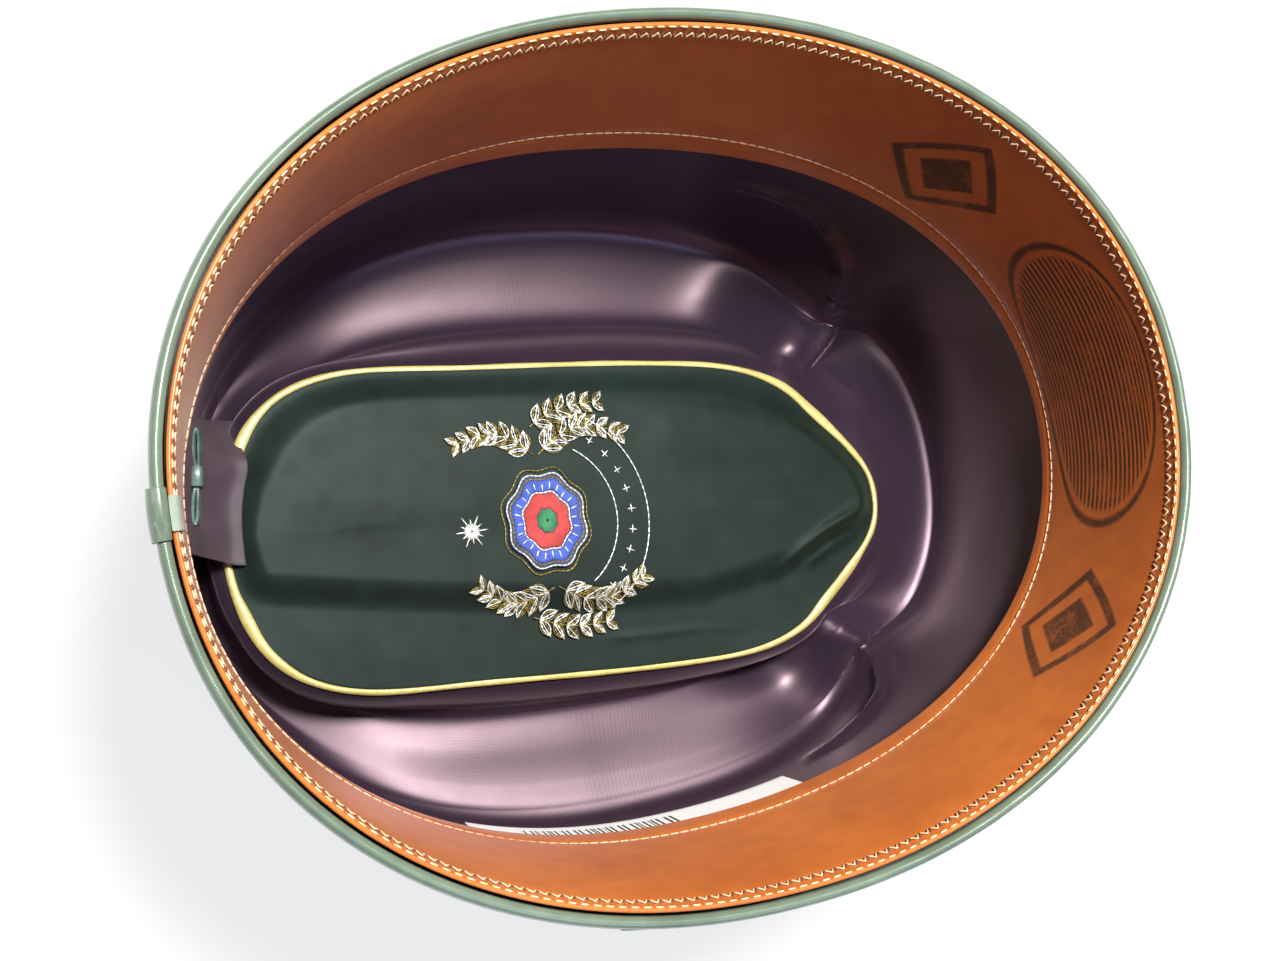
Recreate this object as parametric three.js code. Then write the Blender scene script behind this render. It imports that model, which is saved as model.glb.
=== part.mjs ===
import * as THREE from 'three';
import { mergeVertices } from 'three/addons/utils/BufferGeometryUtils.js';

// A lined felt dress hat without a brim, lying on its crown with the opening up. Sizes are millimetres.
// +X is the front of the hat, +Y the wearer's right and +Z points out of the opening. The crown's ridge
// rests on z = 0. A turn runs round the oval from the front over the wearer's right; a depth is measured
// down from the rim.

// Rim and crown
const rimHalfLength = 105;
const rimHalfWidth = 85.8;
const rimSaddle = 2.3;
const rimRoundness = 2.1;
const crownDepth = 112;
const feltThickness = 1.4;
const feltEdgeInset = 0.3;
const restFlat = 0.5;
const noseDepth = 95;
const napeDepth = 103;
const layerGap = 0.3;

// Front pinches
const pinchDepth = 90;
const pinchSpread = THREE.MathUtils.degToRad(9);
const pinchesAt = [
  { wall: THREE.MathUtils.degToRad(32), tip: THREE.MathUtils.degToRad(51) },
  { wall: THREE.MathUtils.degToRad(-35), tip: THREE.MathUtils.degToRad(-49) },
];

// Tip, the flat inside of the crown's dent
const tipHalfLength = 78.5;
const tipHalfWidth = 34;
const tipDepth = 89;
const tipShift = -4.5;
const tipTwist = THREE.MathUtils.degToRad(-4.5);

// Edge welt with its reed
const weltWidth = 2.4;
const weltHeight = 3.2;
const weltWall = 0.45;
const weltJoinGap = 0.8;
const seamShift = 2;
const seamPartWidth = 9.5;
const joinWrapThickness = 0.4;
const joinWrapFrom = THREE.MathUtils.degToRad(-45);
const joinWrapTo = THREE.MathUtils.degToRad(135);
const tapeThickness = 0.4;
const tapeWidth = 5;

// Sweatband
const bandThickness = 0.9;
const bandTopDepth = 0.9;
const bandDepth = 48.7;
const bandFrontStandOff = 2.2;
const bandSideStandOff = 7;
const bandBackStandOff = 2.1;
const bandEdgeSaddle = 4.1;
const bandLeanPower = 0.8;
const bandSeamGap = 0.8;
const seamTapeTopDepth = 19;
const seamTapeThickness = 0.3;
const tabWidth = 6.5;
const tabReach = 4.5;
const tabThickness = 0.4;

// Bow at the free edge of the sweatband's back seam
const bowRibbonWidth = 5;
const bowRibbonThickness = 0.45;
const bowHalfLength = 9;
const bowLoopHeight = 2.6;
const bowWaist = 1.1;
const bowEdgeMargin = 4.5;
const bowStandOff = 1.15;
const bowKnotWidth = 3.6;
const bowHoleStart = 2.6;
const bowShift = 14.4;

// Lining
const liningThickness = 0.4;
const liningTopDepth = 14;
const seamAllowance = 1.1;
const pipingRadius = 0.8;
const backingThickness = 1;
const backingInset = 3;
const tipCrown = 0.9;
const rosetteForward = -8.5;
const rosetteHalfLength = 9.5;
const rosetteHalfWidth = 11;
const rosetteThickness = 0.5;
const rosetteGap = 0.8;
const lapWidth = 30;
const lapShift = 12;
const lapThickness = 0.5;
const lapWallGap = 0.8;
const lapTopDepth = 51;
const lapStandOff = 1.6;
const lapReach = 3.5;

// Paper ticket behind the sweatband
const ticketLength = 82;
const ticketHeight = 30;
const ticketThickness = 0.3;
const ticketShowing = 12;
const ticketForward = -7;

// Ribbon round the outside of the crown, with a flat bow at the wearer's left
const ribbonTopDepth = 10;
const ribbonWidth = 36;
const ribbonThickness = 0.4;
const ribbonGap = 0.4;
const flatBowHalfLength = 31;
const flatBowWidth = 31;
const flatBowWaistWidth = 26;
const flatBowThickness = 0.8;
const flatBowTailReach = 50;
const flatBowTailNotch = 7;
const flatBowTailWidth = 24;
const flatBowTailThickness = 0.4;
const flatBowKnotWidth = 13;
const flatBowKnotThickness = 0.5;

// Facets
const turnSteps = 60;
const pipingSides = 6;
const weltSides = 8;
const bandRowSteps = 3;
const ticketRowSteps = 4;
const bowEdgeSteps = 8;
const lapColumns = 8;
const rosetteScallops = 8;
const rosetteSteps = 64;
const fineSteps = 720;
const halvings = 40;
const outlineDetail = 20;
const closestTurn = 0.02;
const closestTurnWithin = 0.005;
const closestRowShares = { top: 0.2, bottom: 0.1 };
const weldTolerance = 1e-4;

const fullTurn = 2 * Math.PI;
const halfTurn = Math.PI;
const seamTurn = halfTurn - seamShift / rimHalfLength;
const pinchMiddle = (pinchesAt[0].wall + pinchesAt[0].tip) / 2;
const up = new THREE.Vector3(0, 0, 1);

// What each layer of the crown lies at, measured inwards from the felt's outer face
const liningOuter = feltThickness + layerGap;
const liningInner = liningOuter + liningThickness;
const backingOuter = feltThickness + layerGap;
const tipOuter = backingOuter + backingThickness + layerGap;
const tipInner = tipOuter + liningThickness;
const bandInset = weltWidth + layerGap + bandThickness;
const feltTopDepth = weltHeight + layerGap;

// Sections of the crown from its top edge to the middle of the tip, as shares of the rim's half
// length to the front and back, of its half width, and of the depths at the front, sides and back
const crownSectionShares = [
  { front: 0.999, back: 0.979, side: 0.988, roundness: 2.1, depths: [0.11, 0.09, 0.09] },
  { front: 0.999, back: 0.958, side: 0.974, roundness: 2.1, depths: [0.28, 0.225, 0.245] },
  { front: 0.997, back: 0.925, side: 0.95, roundness: 2.1, depths: [0.55, 0.45, 0.49] },
  { front: 0.992, back: 0.896, side: 0.92, roundness: 2.12, depths: [0.78, 0.67, 0.71] },
  { front: 0.984, back: 0.862, side: 0.88, roundness: 2.15, depths: [0.91, 0.84, 0.87] },
  { front: 0.968, back: 0.83, side: 0.82, roundness: 2.2, depths: [0.98, 0.955, 0.955] },
  { front: 0.93, back: 0.803, side: 0.735, roundness: 2.25, depths: [1, 0.995, 1] },
  { front: 0.875, back: 0.778, side: 0.615, roundness: 2.35, depths: [0.99, 1, 0.985] },
  { front: 0.815, back: 0.758, side: 0.5, roundness: 2.5, depths: [0.968, 0.96, 0.935] },
];
// How far each section is pulled to the tip and lifted by a front pinch, how far the pinch has leant
// from the wall to the tip there, and how far the section follows the tip's shift and twist
const pinchShares = [
  { pull: 0, lift: 0, lean: 0, follow: 0 },
  { pull: 0, lift: 0, lean: 0, follow: 0 },
  { pull: 0.028, lift: 0, lean: 0.15, follow: 0.05 },
  { pull: 0.098, lift: 0, lean: 0.3, follow: 0.12 },
  { pull: 0.21, lift: 0.18, lean: 0.44, follow: 0.22 },
  { pull: 0.301, lift: 0.55, lean: 0.56, follow: 0.3 },
  { pull: 0.364, lift: 0.9, lean: 0.66, follow: 0.36 },
  { pull: 0.385, lift: 1, lean: 0.76, follow: 0.4 },
  { pull: 0.315, lift: 1, lean: 0.88, follow: 0.5 },
];
const frontReachShares = [0.52, 0.95];
const backReachShares = [0.45, 0.95];
const pinchCrowdingShare = 1.2;
const tipSection = crownSectionShares.length + 1;
const crownCentre = tipSection + 1;
const bandSection = 3;
const ribbonMiddleSection = 2;
const restSection = 8;
const restRowShares = [-0.35, 0, 0.4];
const tipRowShares = [0.35, 0.7];
const stepShare = 1e-3;
const turnSpread = 0.04;
const placeSpread = 0.3;
const centreLineShare = 0.62;
const bowSwellPower = 0.8;
const lapSagShare = 1 / 3;
const rosetteScallopShare = 0.05;

// How far the sweatband leans in at its free edge: it stands off the lining of the wall behind it
const bandWall = crownSectionShares[bandSection - 1];
const liningToBand = liningInner - bandInset;
const bandLeanFront = rimHalfLength * (1 - bandWall.front) + liningToBand + bandFrontStandOff;
const bandLeanSide = rimHalfWidth * (1 - bandWall.side) + liningToBand + bandSideStandOff;
const bandLeanBack = rimHalfLength * (1 - bandWall.back) + liningToBand + bandBackStandOff;

// Half outline of the tip from its front end to its back end, as shares of its half length and width
const tipOutlineShares = [
  [1, 0],
  [0.985, 0.19],
  [0.93, 0.375],
  [0.808, 0.65],
  [0.705, 0.86],
  [0.55, 0.955],
  [0.25, 1],
  [-0.3, 1],
  [-0.66, 0.985],
  [-0.8, 0.9],
  [-0.9, 0.73],
  [-0.975, 0.4],
  [-0.995, 0.2],
  [-1, 0],
];

function signedPower(value, power) {
  return Math.sign(value) * Math.abs(value) ** power;
}

// Weights of the front, back and sides at a turn: they add up to one.
function facing(turn) {
  const along = Math.cos(turn);
  const front = Math.max(along, 0) ** 2;
  const back = Math.max(-along, 0) ** 2;
  return { front, back, side: 1 - front - back };
}

function ovalPoint(turn, front, back, side, roundness) {
  const along = signedPower(Math.cos(turn), 2 / roundness);
  const across = signedPower(Math.sin(turn), 2 / roundness);
  return new THREE.Vector3(along * (along > 0 ? front : back), across * side, 0);
}

// Point of the rim's oval, drawn in by an inset, at a depth below the rim's saddle
function rimPoint(turn, inset, depth, saddle = rimSaddle) {
  const point = ovalPoint(
    turn,
    rimHalfLength - inset,
    rimHalfLength - inset,
    rimHalfWidth - inset,
    rimRoundness,
  );
  point.z = crownDepth - depth + saddle * Math.cos(2 * turn);
  return point;
}

// The tip's outline, found by its direction from the middle
const outlineCurve = new THREE.CatmullRomCurve3(
  [
    ...tipOutlineShares.map(([along, across]) => new THREE.Vector3(along, across, 0)),
    ...tipOutlineShares
      .slice(1, -1)
      .reverse()
      .map(([along, across]) => new THREE.Vector3(along, -across, 0)),
  ],
  true,
  'centripetal',
);
const outlineSamples = outlineCurve.getPoints(outlineDetail * turnSteps).slice(0, -1);

function tipOutlineShare(turn) {
  const target = ((turn % fullTurn) + fullTurn) % fullTurn;
  const angle = (point) => (Math.atan2(point.y, point.x) + fullTurn) % fullTurn;
  let low = 0;
  let high = outlineSamples.length;
  while (high - low > 1) {
    const middle = Math.floor((low + high) / 2);
    if (angle(outlineSamples[middle]) <= target) low = middle;
    else high = middle;
  }
  const from = outlineSamples[low];
  const to = outlineSamples[(low + 1) % outlineSamples.length];
  const start = angle(from);
  const span = ((angle(to) - start + fullTurn) % fullTurn) || 1;
  return from.clone().lerp(to, THREE.MathUtils.clamp((target - start) / span, 0, 1));
}

// Place on the tip's plan, from shares of its half length and width
function tipPlace(along, across, depth) {
  const x = along * tipHalfLength;
  const y = across * tipHalfWidth;
  return new THREE.Vector3(
    x * Math.cos(tipTwist) - y * Math.sin(tipTwist),
    x * Math.sin(tipTwist) + y * Math.cos(tipTwist) + tipShift,
    crownDepth - depth,
  );
}

// Share along the tip's middle line, spread so that points near its ends don't crowd
function evenShare(turn) {
  const folded = Math.abs(Math.atan2(Math.sin(turn), Math.cos(turn)));
  return (Math.cos(turn) + 1 - (2 * folded) / halfTurn) / 2;
}

function pinchWeight(turn, lean) {
  return pinchesAt.reduce((sum, { wall, tip }) => {
    const centre = THREE.MathUtils.lerp(wall, tip, lean);
    const away = Math.atan2(Math.sin(turn - centre), Math.cos(turn - centre)) / pinchSpread;
    return sum + Math.exp(-away * away);
  }, 0);
}

// Point of one section of the felt's outer face at a turn
function sectionPoint(turn, index) {
  if (index === 0) return rimPoint(turn, feltEdgeInset, feltTopDepth);
  if (index === crownCentre) return tipPlace(centreLineShare * evenShare(turn), 0, tipDepth - tipCrown);
  const tipShare = tipOutlineShare(turn);
  const tipPoint = tipPlace(tipShare.x, tipShare.y, tipDepth);
  if (index === tipSection) return tipPoint;
  const section = crownSectionShares[index - 1];
  const pinch = pinchShares[index - 1];
  const along = Math.cos(turn);
  const front = THREE.MathUtils.smoothstep(along, ...frontReachShares);
  const back = THREE.MathUtils.smoothstep(-along, ...backReachShares);
  const side = 1 - front - back;
  const [frontDepth, sideDepth, backDepth] = section.depths;
  const open = front * frontDepth * noseDepth
    + side * sideDepth * (crownDepth + restFlat)
    + back * backDepth * napeDepth;
  const weight = pinchWeight(turn, pinch.lean);
  const depth = THREE.MathUtils.lerp(open, Math.min(open, pinchDepth), pinch.lift * weight);
  const fade = Math.max(0, 1 - (open / crownDepth) ** 2);
  const point = ovalPoint(
    turn,
    rimHalfLength * section.front,
    rimHalfLength * section.back,
    rimHalfWidth * section.side,
    section.roundness,
  );
  point.applyAxisAngle(up, tipTwist * pinch.follow);
  point.y += tipShift * pinch.follow;
  point.lerp(tipPoint, pinch.pull * weight);
  point.z = crownDepth - depth + rimSaddle * Math.cos(2 * turn) * fade;
  return point;
}

const sectionCache = new Map();

function cachedSection(turn, index) {
  const key = `${turn.toFixed(9)} ${index}`;
  if (!sectionCache.has(key)) sectionCache.set(key, sectionPoint(turn, index));
  return sectionCache.get(key);
}

// Point of the felt's outer face, on a smooth curve through the sections at that turn
function crownPoint(turn, place) {
  const at = (index) => cachedSection(turn, THREE.MathUtils.clamp(index, 0, crownCentre));
  const index = Math.min(Math.floor(place), crownCentre - 1);
  const from = at(index);
  const to = at(index + 1);
  const chord = from.distanceTo(to);
  const slope = (middle) => {
    const before = at(middle - 1);
    const here = at(middle);
    const after = at(middle + 1);
    const run = before.distanceTo(here) + here.distanceTo(after);
    return after.clone().sub(before).divideScalar(run);
  };
  const start = slope(index);
  const end = slope(index + 1);
  if (index + 1 === crownCentre) end.z = 0;
  const s = place - index;
  const s2 = s * s;
  const s3 = s2 * s;
  return from.clone().multiplyScalar(2 * s3 - 3 * s2 + 1)
    .addScaledVector(start, (s3 - 2 * s2 + s) * chord)
    .addScaledVector(to, 3 * s2 - 2 * s3)
    .addScaledVector(end, (s3 - s2) * chord);
}

// Direction into the hollow, square to the felt's outer face
function crownInward(turn, place) {
  if (place >= crownCentre) return new THREE.Vector3(0, 0, 1);
  const low = Math.max(place - placeSpread, 0);
  const high = Math.min(place + placeSpread, crownCentre);
  const round = crownPoint(turn + turnSpread, place).sub(crownPoint(turn - turnSpread, place));
  const inwards = crownPoint(turn, high).sub(crownPoint(turn, low));
  return round.cross(inwards).normalize();
}

// Point of a layer of the crown, so far inside the felt's outer face
function crownLayer(turn, place, inset) {
  return crownPoint(turn, place).addScaledVector(crownInward(turn, place), inset);
}

// Place on the meridian where the felt's outer face reaches a depth below the rim
function placeAtDepth(turn, depth) {
  const z = crownDepth - depth + rimSaddle * Math.cos(2 * turn) * Math.max(0, 1 - (depth / crownDepth) ** 2);
  let low = 0;
  let high = tipSection / 2;
  for (let step = 0; step < halvings; step += 1) {
    const middle = (low + high) / 2;
    if (crownPoint(turn, middle).z > z) low = middle;
    else high = middle;
  }
  return (low + high) / 2;
}

// Place that lies a distance before or behind another along the meridian
function placeBeside(turn, place, distance) {
  const side = Math.sign(distance) * stepShare;
  const speed = crownPoint(turn, place + side).distanceTo(crownPoint(turn, place)) / stepShare;
  return place + distance / speed;
}

// Point of the sweatband's visible face: share 0 is the edge at the rim and share 1 the free edge
function bandPoint(turn, share, outwards = 0) {
  const { front, side, back } = facing(turn);
  const lean = bandLeanFront * front + bandLeanSide * side + bandLeanBack * back;
  const leanShare = share > 1 ? 1 + (share - 1) * bandLeanPower : signedPower(share, bandLeanPower);
  const depth = bandTopDepth + (bandDepth - bandTopDepth) * share;
  const saddle = rimSaddle + (bandEdgeSaddle - rimSaddle) * share;
  return rimPoint(turn, bandInset + lean * leanShare - outwards, depth, saddle);
}

function stepsBetween(from, to, steps) {
  return Array.from({ length: steps + 1 }, (_, step) => from + ((to - from) * step) / steps);
}

// Turns right round the oval, the same on both sides and closest together at the front pinches
function ringTurns() {
  const crowding = (turn) => {
    const away = (turn - pinchMiddle) / (2 * pinchSpread);
    return 1 + pinchCrowdingShare * Math.exp(-away * away);
  };
  const sums = [0];
  for (let step = 0; step < fineSteps; step += 1) {
    sums.push(sums[step] + crowding((halfTurn * (step + 0.5)) / fineSteps));
  }
  const side = [];
  let fine = 0;
  for (let step = 0; step <= turnSteps / 2; step += 1) {
    const target = (sums[fineSteps] * step) / (turnSteps / 2);
    while (fine < fineSteps - 1 && sums[fine + 1] < target) fine += 1;
    const within = (target - sums[fine]) / (sums[fine + 1] - sums[fine]);
    side.push((halfTurn * (fine + within)) / fineSteps);
  }
  return [...side, ...side.slice(1, -1).reverse().map((turn) => fullTurn - turn)];
}

const turnsRound = ringTurns();

// The same turns from just past the back seam right round to just before it
function turnsFromSeam(gap) {
  const start = seamTurn + gap / (2 * rimHalfLength);
  const end = seamTurn + fullTurn - gap / (2 * rimHalfLength);
  const beside = (seamPartWidth - gap) / (2 * rimHalfLength);
  const between = [...turnsRound, ...turnsRound.map((turn) => turn + fullTurn)]
    .filter((turn) => turn > start + beside + closestTurn && turn < end - beside - closestTurn);
  return [start, start + beside, ...between, end - beside, end];
}

// The same turns between two others
function turnsWithin(start, end) {
  const between = [...turnsRound.map((turn) => turn - fullTurn), ...turnsRound]
    .filter((turn) => turn > start + closestTurnWithin && turn < end - closestTurnWithin);
  return [start, ...between, end];
}

// Turns on the wearer's left between two places forward, on an oval of the rim's roundness
function leftTurns(from, to, halfLength = rimHalfLength) {
  const turnAt = (forward) => -Math.acos(signedPower(forward / halfLength, rimRoundness / 2));
  return turnsWithin(turnAt(from), turnAt(to));
}

// Closed body from triangles given as triples of points, with its faces pointing out
function bodyGeometry(triangles) {
  let volume = 0;
  for (const [a, b, c] of triangles) volume += a.dot(b.clone().cross(c));
  const positions = [];
  for (const [a, b, c] of triangles) {
    const corners = volume > 0 ? [a, b, c] : [a, c, b];
    for (const corner of corners) positions.push(corner.x, corner.y, corner.z);
  }
  const geometry = new THREE.BufferGeometry();
  geometry.setAttribute('position', new THREE.Float32BufferAttribute(positions, 3));
  const merged = mergeVertices(geometry, weldTolerance);
  merged.computeVertexNormals();
  return merged;
}

// Faces between neighbouring loops. Each loop closes on itself; an open edge of it can be left out. The
// way back along a loop is split along the same diagonals as the way out.
function loopFaces(loops, { ring = false, leftOut = -1, backFrom = loops[0].length / 2 } = {}) {
  const triangles = [];
  const count = loops[0].length;
  const spans = ring ? loops.length : loops.length - 1;
  for (let column = 0; column < spans; column += 1) {
    const here = loops[column];
    const next = loops[(column + 1) % loops.length];
    for (let row = 0; row < count; row += 1) {
      if (row === leftOut) continue;
      const after = (row + 1) % count;
      if (row < backFrom) {
        triangles.push([here[row], next[row], next[after]], [here[row], next[after], here[after]]);
      } else {
        triangles.push([here[row], next[row], here[after]], [next[row], next[after], here[after]]);
      }
    }
  }
  return triangles;
}

// Faces that close the end of a thin sheet, whose loop runs out along one face and back along the other
function sheetEnd(loop, last) {
  const triangles = [];
  const half = loop.length / 2;
  for (let row = 0; row < half - 1; row += 1) {
    const a = loop[row];
    const b = loop[row + 1];
    const c = loop[loop.length - 2 - row];
    const d = loop[loop.length - 1 - row];
    if (last) triangles.push([a, c, b], [a, d, c]);
    else triangles.push([a, b, c], [a, c, d]);
  }
  return triangles;
}

// Sheet that runs right round, from the loop of its section at each turn
function ringSheet(loopAt, options = {}) {
  return bodyGeometry(loopFaces(turnsRound.map(loopAt), { ring: true, ...options }));
}

// Sheet from one turn to another, with both ends closed
function openSheet(turns, loopAt) {
  const loops = turns.map(loopAt);
  return bodyGeometry([
    ...loopFaces(loops),
    ...sheetEnd(loops[0], false),
    ...sheetEnd(loops[loops.length - 1], true),
  ]);
}

// Point of the welt's oval section, shrunk by an inset. Angle 0 faces outwards and a quarter turn up.
function weltPoint(turn, angle, inset) {
  const outwards = Math.cos(angle) * (weltWidth / 2 - inset);
  const upwards = Math.sin(angle) * (weltHeight / 2 - inset);
  return rimPoint(turn, weltWidth / 2 - outwards, weltHeight / 2 - upwards);
}

function weltLoop(turn, inset) {
  return stepsBetween(0, fullTurn, weltSides).slice(0, -1).map((angle) => weltPoint(turn, angle, inset));
}

// Tube with a bore and two open ends
function boredTube(turns, outerAt, innerAt) {
  const outer = turns.map(outerAt);
  const inner = turns.map(innerAt);
  const triangles = loopFaces(outer);
  for (const [a, b, c] of loopFaces(inner)) triangles.push([a, c, b]);
  const ends = [
    [outer[0], inner[0], false],
    [outer[outer.length - 1], inner[inner.length - 1], true],
  ];
  for (const [rim, bore, last] of ends) {
    rim.forEach((corner, row) => {
      const after = (row + 1) % rim.length;
      const quad = [corner, rim[after], bore[after], bore[row]];
      const [a, b, c, d] = last ? [quad[0], quad[3], quad[2], quad[1]] : quad;
      triangles.push([a, b, c], [a, c, d]);
    });
  }
  return bodyGeometry(triangles);
}

// Rod with two closed ends
function solidRod(turns, loopAt) {
  const loops = turns.map(loopAt);
  const triangles = loopFaces(loops);
  const ends = [[loops[0], false], [loops[loops.length - 1], true]];
  for (const [loop, last] of ends) {
    for (let row = 1; row < loop.length - 1; row += 1) {
      triangles.push(last ? [loop[0], loop[row + 1], loop[row]] : [loop[0], loop[row], loop[row + 1]]);
    }
  }
  return bodyGeometry(triangles);
}

// Section of a crown layer at a turn: out along its outer face and back along its inner one
function layerLoop(turn, places, outer, inner) {
  return [
    ...places.map((place) => crownLayer(turn, place, outer)),
    ...places.slice().reverse().map((place) => crownLayer(turn, place, inner)),
  ];
}

// Felt

const crownPlaces = stepsBetween(1, tipSection, tipSection - 1);
const tipPlaces = [...tipRowShares.map((share) => tipSection + share), crownCentre];
const restPlaces = restRowShares.map((share) => restSection + share);

// Both faces run through the same places; the outer one has more where it is pressed flat to rest
function feltCrown() {
  const innerPlaces = [0, ...crownPlaces, ...tipPlaces];
  const outerPlaces = [...new Set([...innerPlaces, ...restPlaces])].sort((a, b) => a - b);
  return ringSheet((turn) => {
    const outer = outerPlaces.map((place) => crownLayer(turn, place, 0));
    for (const point of outer) point.z = Math.max(point.z, 0);
    const inner = innerPlaces.map((place) => crownLayer(turn, place, feltThickness));
    inner[0] = rimPoint(turn, feltEdgeInset + feltThickness, feltTopDepth);
    return [...outer, ...inner.reverse()];
  }, { leftOut: outerPlaces.length - 1, backFrom: outerPlaces.length });
}

// Welt and tape

// Strip laid over the outside and the top of the welt where its ends meet
function joinWrap() {
  const angles = stepsBetween(joinWrapFrom, joinWrapTo, weltSides / 2);
  return openSheet(seamTurns(seamPartWidth), (turn) => [
    ...angles.map((angle) => weltPoint(turn, angle, -layerGap - joinWrapThickness)),
    ...angles.slice().reverse().map((angle) => weltPoint(turn, angle, -layerGap)),
  ]);
}

// Point beside the sweatband's outer face, at a depth below the rim
function behindBand(turn, depth, outwards) {
  return bandPoint(turn, (depth - bandTopDepth) / (bandDepth - bandTopDepth), outwards);
}

function bandSheet(turns, depths, near, far) {
  return openSheet(turns, (turn) => [
    ...depths.map((depth) => behindBand(turn, depth, far)),
    ...depths.slice().reverse().map((depth) => behindBand(turn, depth, near)),
  ]);
}

const tapeBottomDepth = feltTopDepth + tapeWidth;
const bandDepths = [bandTopDepth, feltTopDepth, ...stepsBetween(tapeBottomDepth, bandDepth, bandRowSteps)];

function reedTape() {
  const near = bandThickness + layerGap;
  return bandSheet(turnsFromSeam(weltJoinGap), bandDepths.slice(1, 3), near, near + tapeThickness);
}

// Sweatband

function sweatband() {
  return bandSheet(turnsFromSeam(bandSeamGap), bandDepths, 0, bandThickness);
}

// Turns across the back seam, on both sides of the gap there
function seamTurns(width) {
  const away = [-width, -weltJoinGap, weltJoinGap, width];
  return away.map((distance) => seamTurn + distance / (2 * rimHalfLength));
}

function seamTape() {
  const near = bandThickness + layerGap;
  const depths = [seamTapeTopDepth, ...bandDepths.filter((depth) => depth > seamTapeTopDepth)];
  return bandSheet(seamTurns(seamPartWidth), depths, near, near + seamTapeThickness);
}

// Tab folded over the sweatband's top edge where its ends meet
function seamTab() {
  const top = bandTopDepth - layerGap;
  return openSheet(seamTurns(tabWidth), (turn) => [
    behindBand(turn, top, bandThickness - layerGap),
    behindBand(turn, top, -layerGap),
    behindBand(turn, top + tabReach, -layerGap),
    behindBand(turn, top + tabReach, -layerGap - tabThickness),
    behindBand(turn, top - tabThickness, -layerGap - tabThickness),
    behindBand(turn, top - tabThickness, bandThickness - layerGap),
  ]);
}

// Outline of the bow's two loops, as heights over its length, drawn in by an inset
function bowEdge(inset, side) {
  const reach = bowHalfLength - inset;
  const waistShare = (bowKnotWidth / 2 + layerGap) / bowHalfLength;
  const shares = stepsBetween(waistShare, 1, bowEdgeSteps);
  return [...shares.slice().reverse().map((share) => -share), ...shares].map((share) => {
    const along = (Math.abs(share) - waistShare) / (1 - waistShare);
    const swell = Math.sin(halfTurn * along ** bowSwellPower) ** bowSwellPower;
    const half = along === 1 ? 0 : bowWaist / 2 + (bowLoopHeight / 2 - bowWaist / 2) * swell - inset;
    return new THREE.Vector2(share * reach, side * Math.max(half, 0));
  });
}

// Lining

function liningSide() {
  return ringSheet((turn) => {
    const from = placeAtDepth(turn, liningTopDepth);
    const to = placeBeside(turn, tipSection, -seamAllowance);
    const { top, bottom } = closestRowShares;
    const between = crownPlaces.filter((place) => place > from + top && place < to - bottom);
    return layerLoop(turn, [from, ...between, to], liningOuter, liningInner);
  });
}

// Sheet right across the tip, from rows so far inside the tip's outline to its middle line
function tipSheet(insets, outer, inner) {
  return ringSheet((turn) => {
    const places = insets.map((inset) => placeBeside(turn, tipSection, inset));
    return layerLoop(turn, [...places, ...tipPlaces], outer, inner);
  }, { leftOut: insets.length + tipPlaces.length - 1 });
}

function tipPiping() {
  const inset = tipInner - pipingRadius / 2;
  return ringSheet((turn) => {
    const middle = crownLayer(turn, tipSection, inset);
    const inwards = crownInward(turn, tipSection);
    const ahead = crownPoint(turn + stepShare, tipSection);
    const round = ahead.sub(crownPoint(turn - stepShare, tipSection)).normalize();
    const along = inwards.clone().cross(round);
    return stepsBetween(0, fullTurn, pipingSides).slice(0, -1).map((angle) => middle.clone()
      .addScaledVector(along, Math.cos(angle) * pipingRadius)
      .addScaledVector(inwards, Math.sin(angle) * pipingRadius));
  });
}

// Rosette on the tip: an oval patch with a scalloped edge
function tipRosette() {
  const outline = new THREE.Shape(stepsBetween(0, fullTurn, rosetteSteps).slice(0, -1).map((angle) => {
    const scallop = 1 - rosetteScallopShare * Math.cos(rosetteScallops * angle);
    return new THREE.Vector2(
      rosetteHalfLength * scallop * Math.cos(angle),
      rosetteHalfWidth * scallop * Math.sin(angle),
    );
  }));
  return new THREE.ExtrudeGeometry(outline, { depth: rosetteThickness, bevelEnabled: false });
}

// Turn near the back at which a layer of the crown lies so far to the wearer's right
function backTurnAt(across, place, inset) {
  let low = halfTurn / 2;
  let high = (3 * halfTurn) / 2;
  for (let step = 0; step < halvings; step += 1) {
    const middle = (low + high) / 2;
    if (crownLayer(middle, place, inset).y > across) low = middle;
    else high = middle;
  }
  return (low + high) / 2;
}

// Lap of the side lining: it leaves the back wall below the sweatband and bridges to the tip
function liningLap() {
  const wallInset = liningInner + lapWallGap;
  const rows = (across) => {
    const wall = (depth) => {
      const turn = backTurnAt(across, placeAtDepth(halfTurn, depth), wallInset);
      const place = placeAtDepth(turn, depth);
      return crownLayer(turn, place, wallInset);
    };
    const edge = crownLayer(backTurnAt(across, tipSection, tipInner), tipSection, tipInner);
    const end = new THREE.Vector3(edge.x + lapReach, across, edge.z + lapStandOff + tipCrown);
    const top = wall(lapTopDepth);
    const low = wall(lapTopDepth + (tipDepth - lapTopDepth) / 2);
    return [
      top,
      top.clone().lerp(low, 0.5).add(new THREE.Vector3(layerGap, 0, 0)),
      low,
      new THREE.Vector3((low.x + edge.x) / 2, across, end.z + (low.z - end.z) * lapSagShare),
      new THREE.Vector3(edge.x, across, end.z + lapThickness),
      end,
    ];
  };
  const columns = stepsBetween(lapShift + lapWidth / 2, lapShift - lapWidth / 2, lapColumns).map((across) => {
    const face = rows(across);
    const back = face.map((point, row) => {
      const before = face[Math.max(row - 1, 0)];
      const after = face[Math.min(row + 1, face.length - 1)];
      const out = new THREE.Vector3(before.z - after.z, 0, after.x - before.x).normalize();
      return point.clone().addScaledVector(out, lapThickness);
    });
    return [...face, ...back.reverse()];
  });
  return openSheet(columns, (loop) => loop);
}

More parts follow.
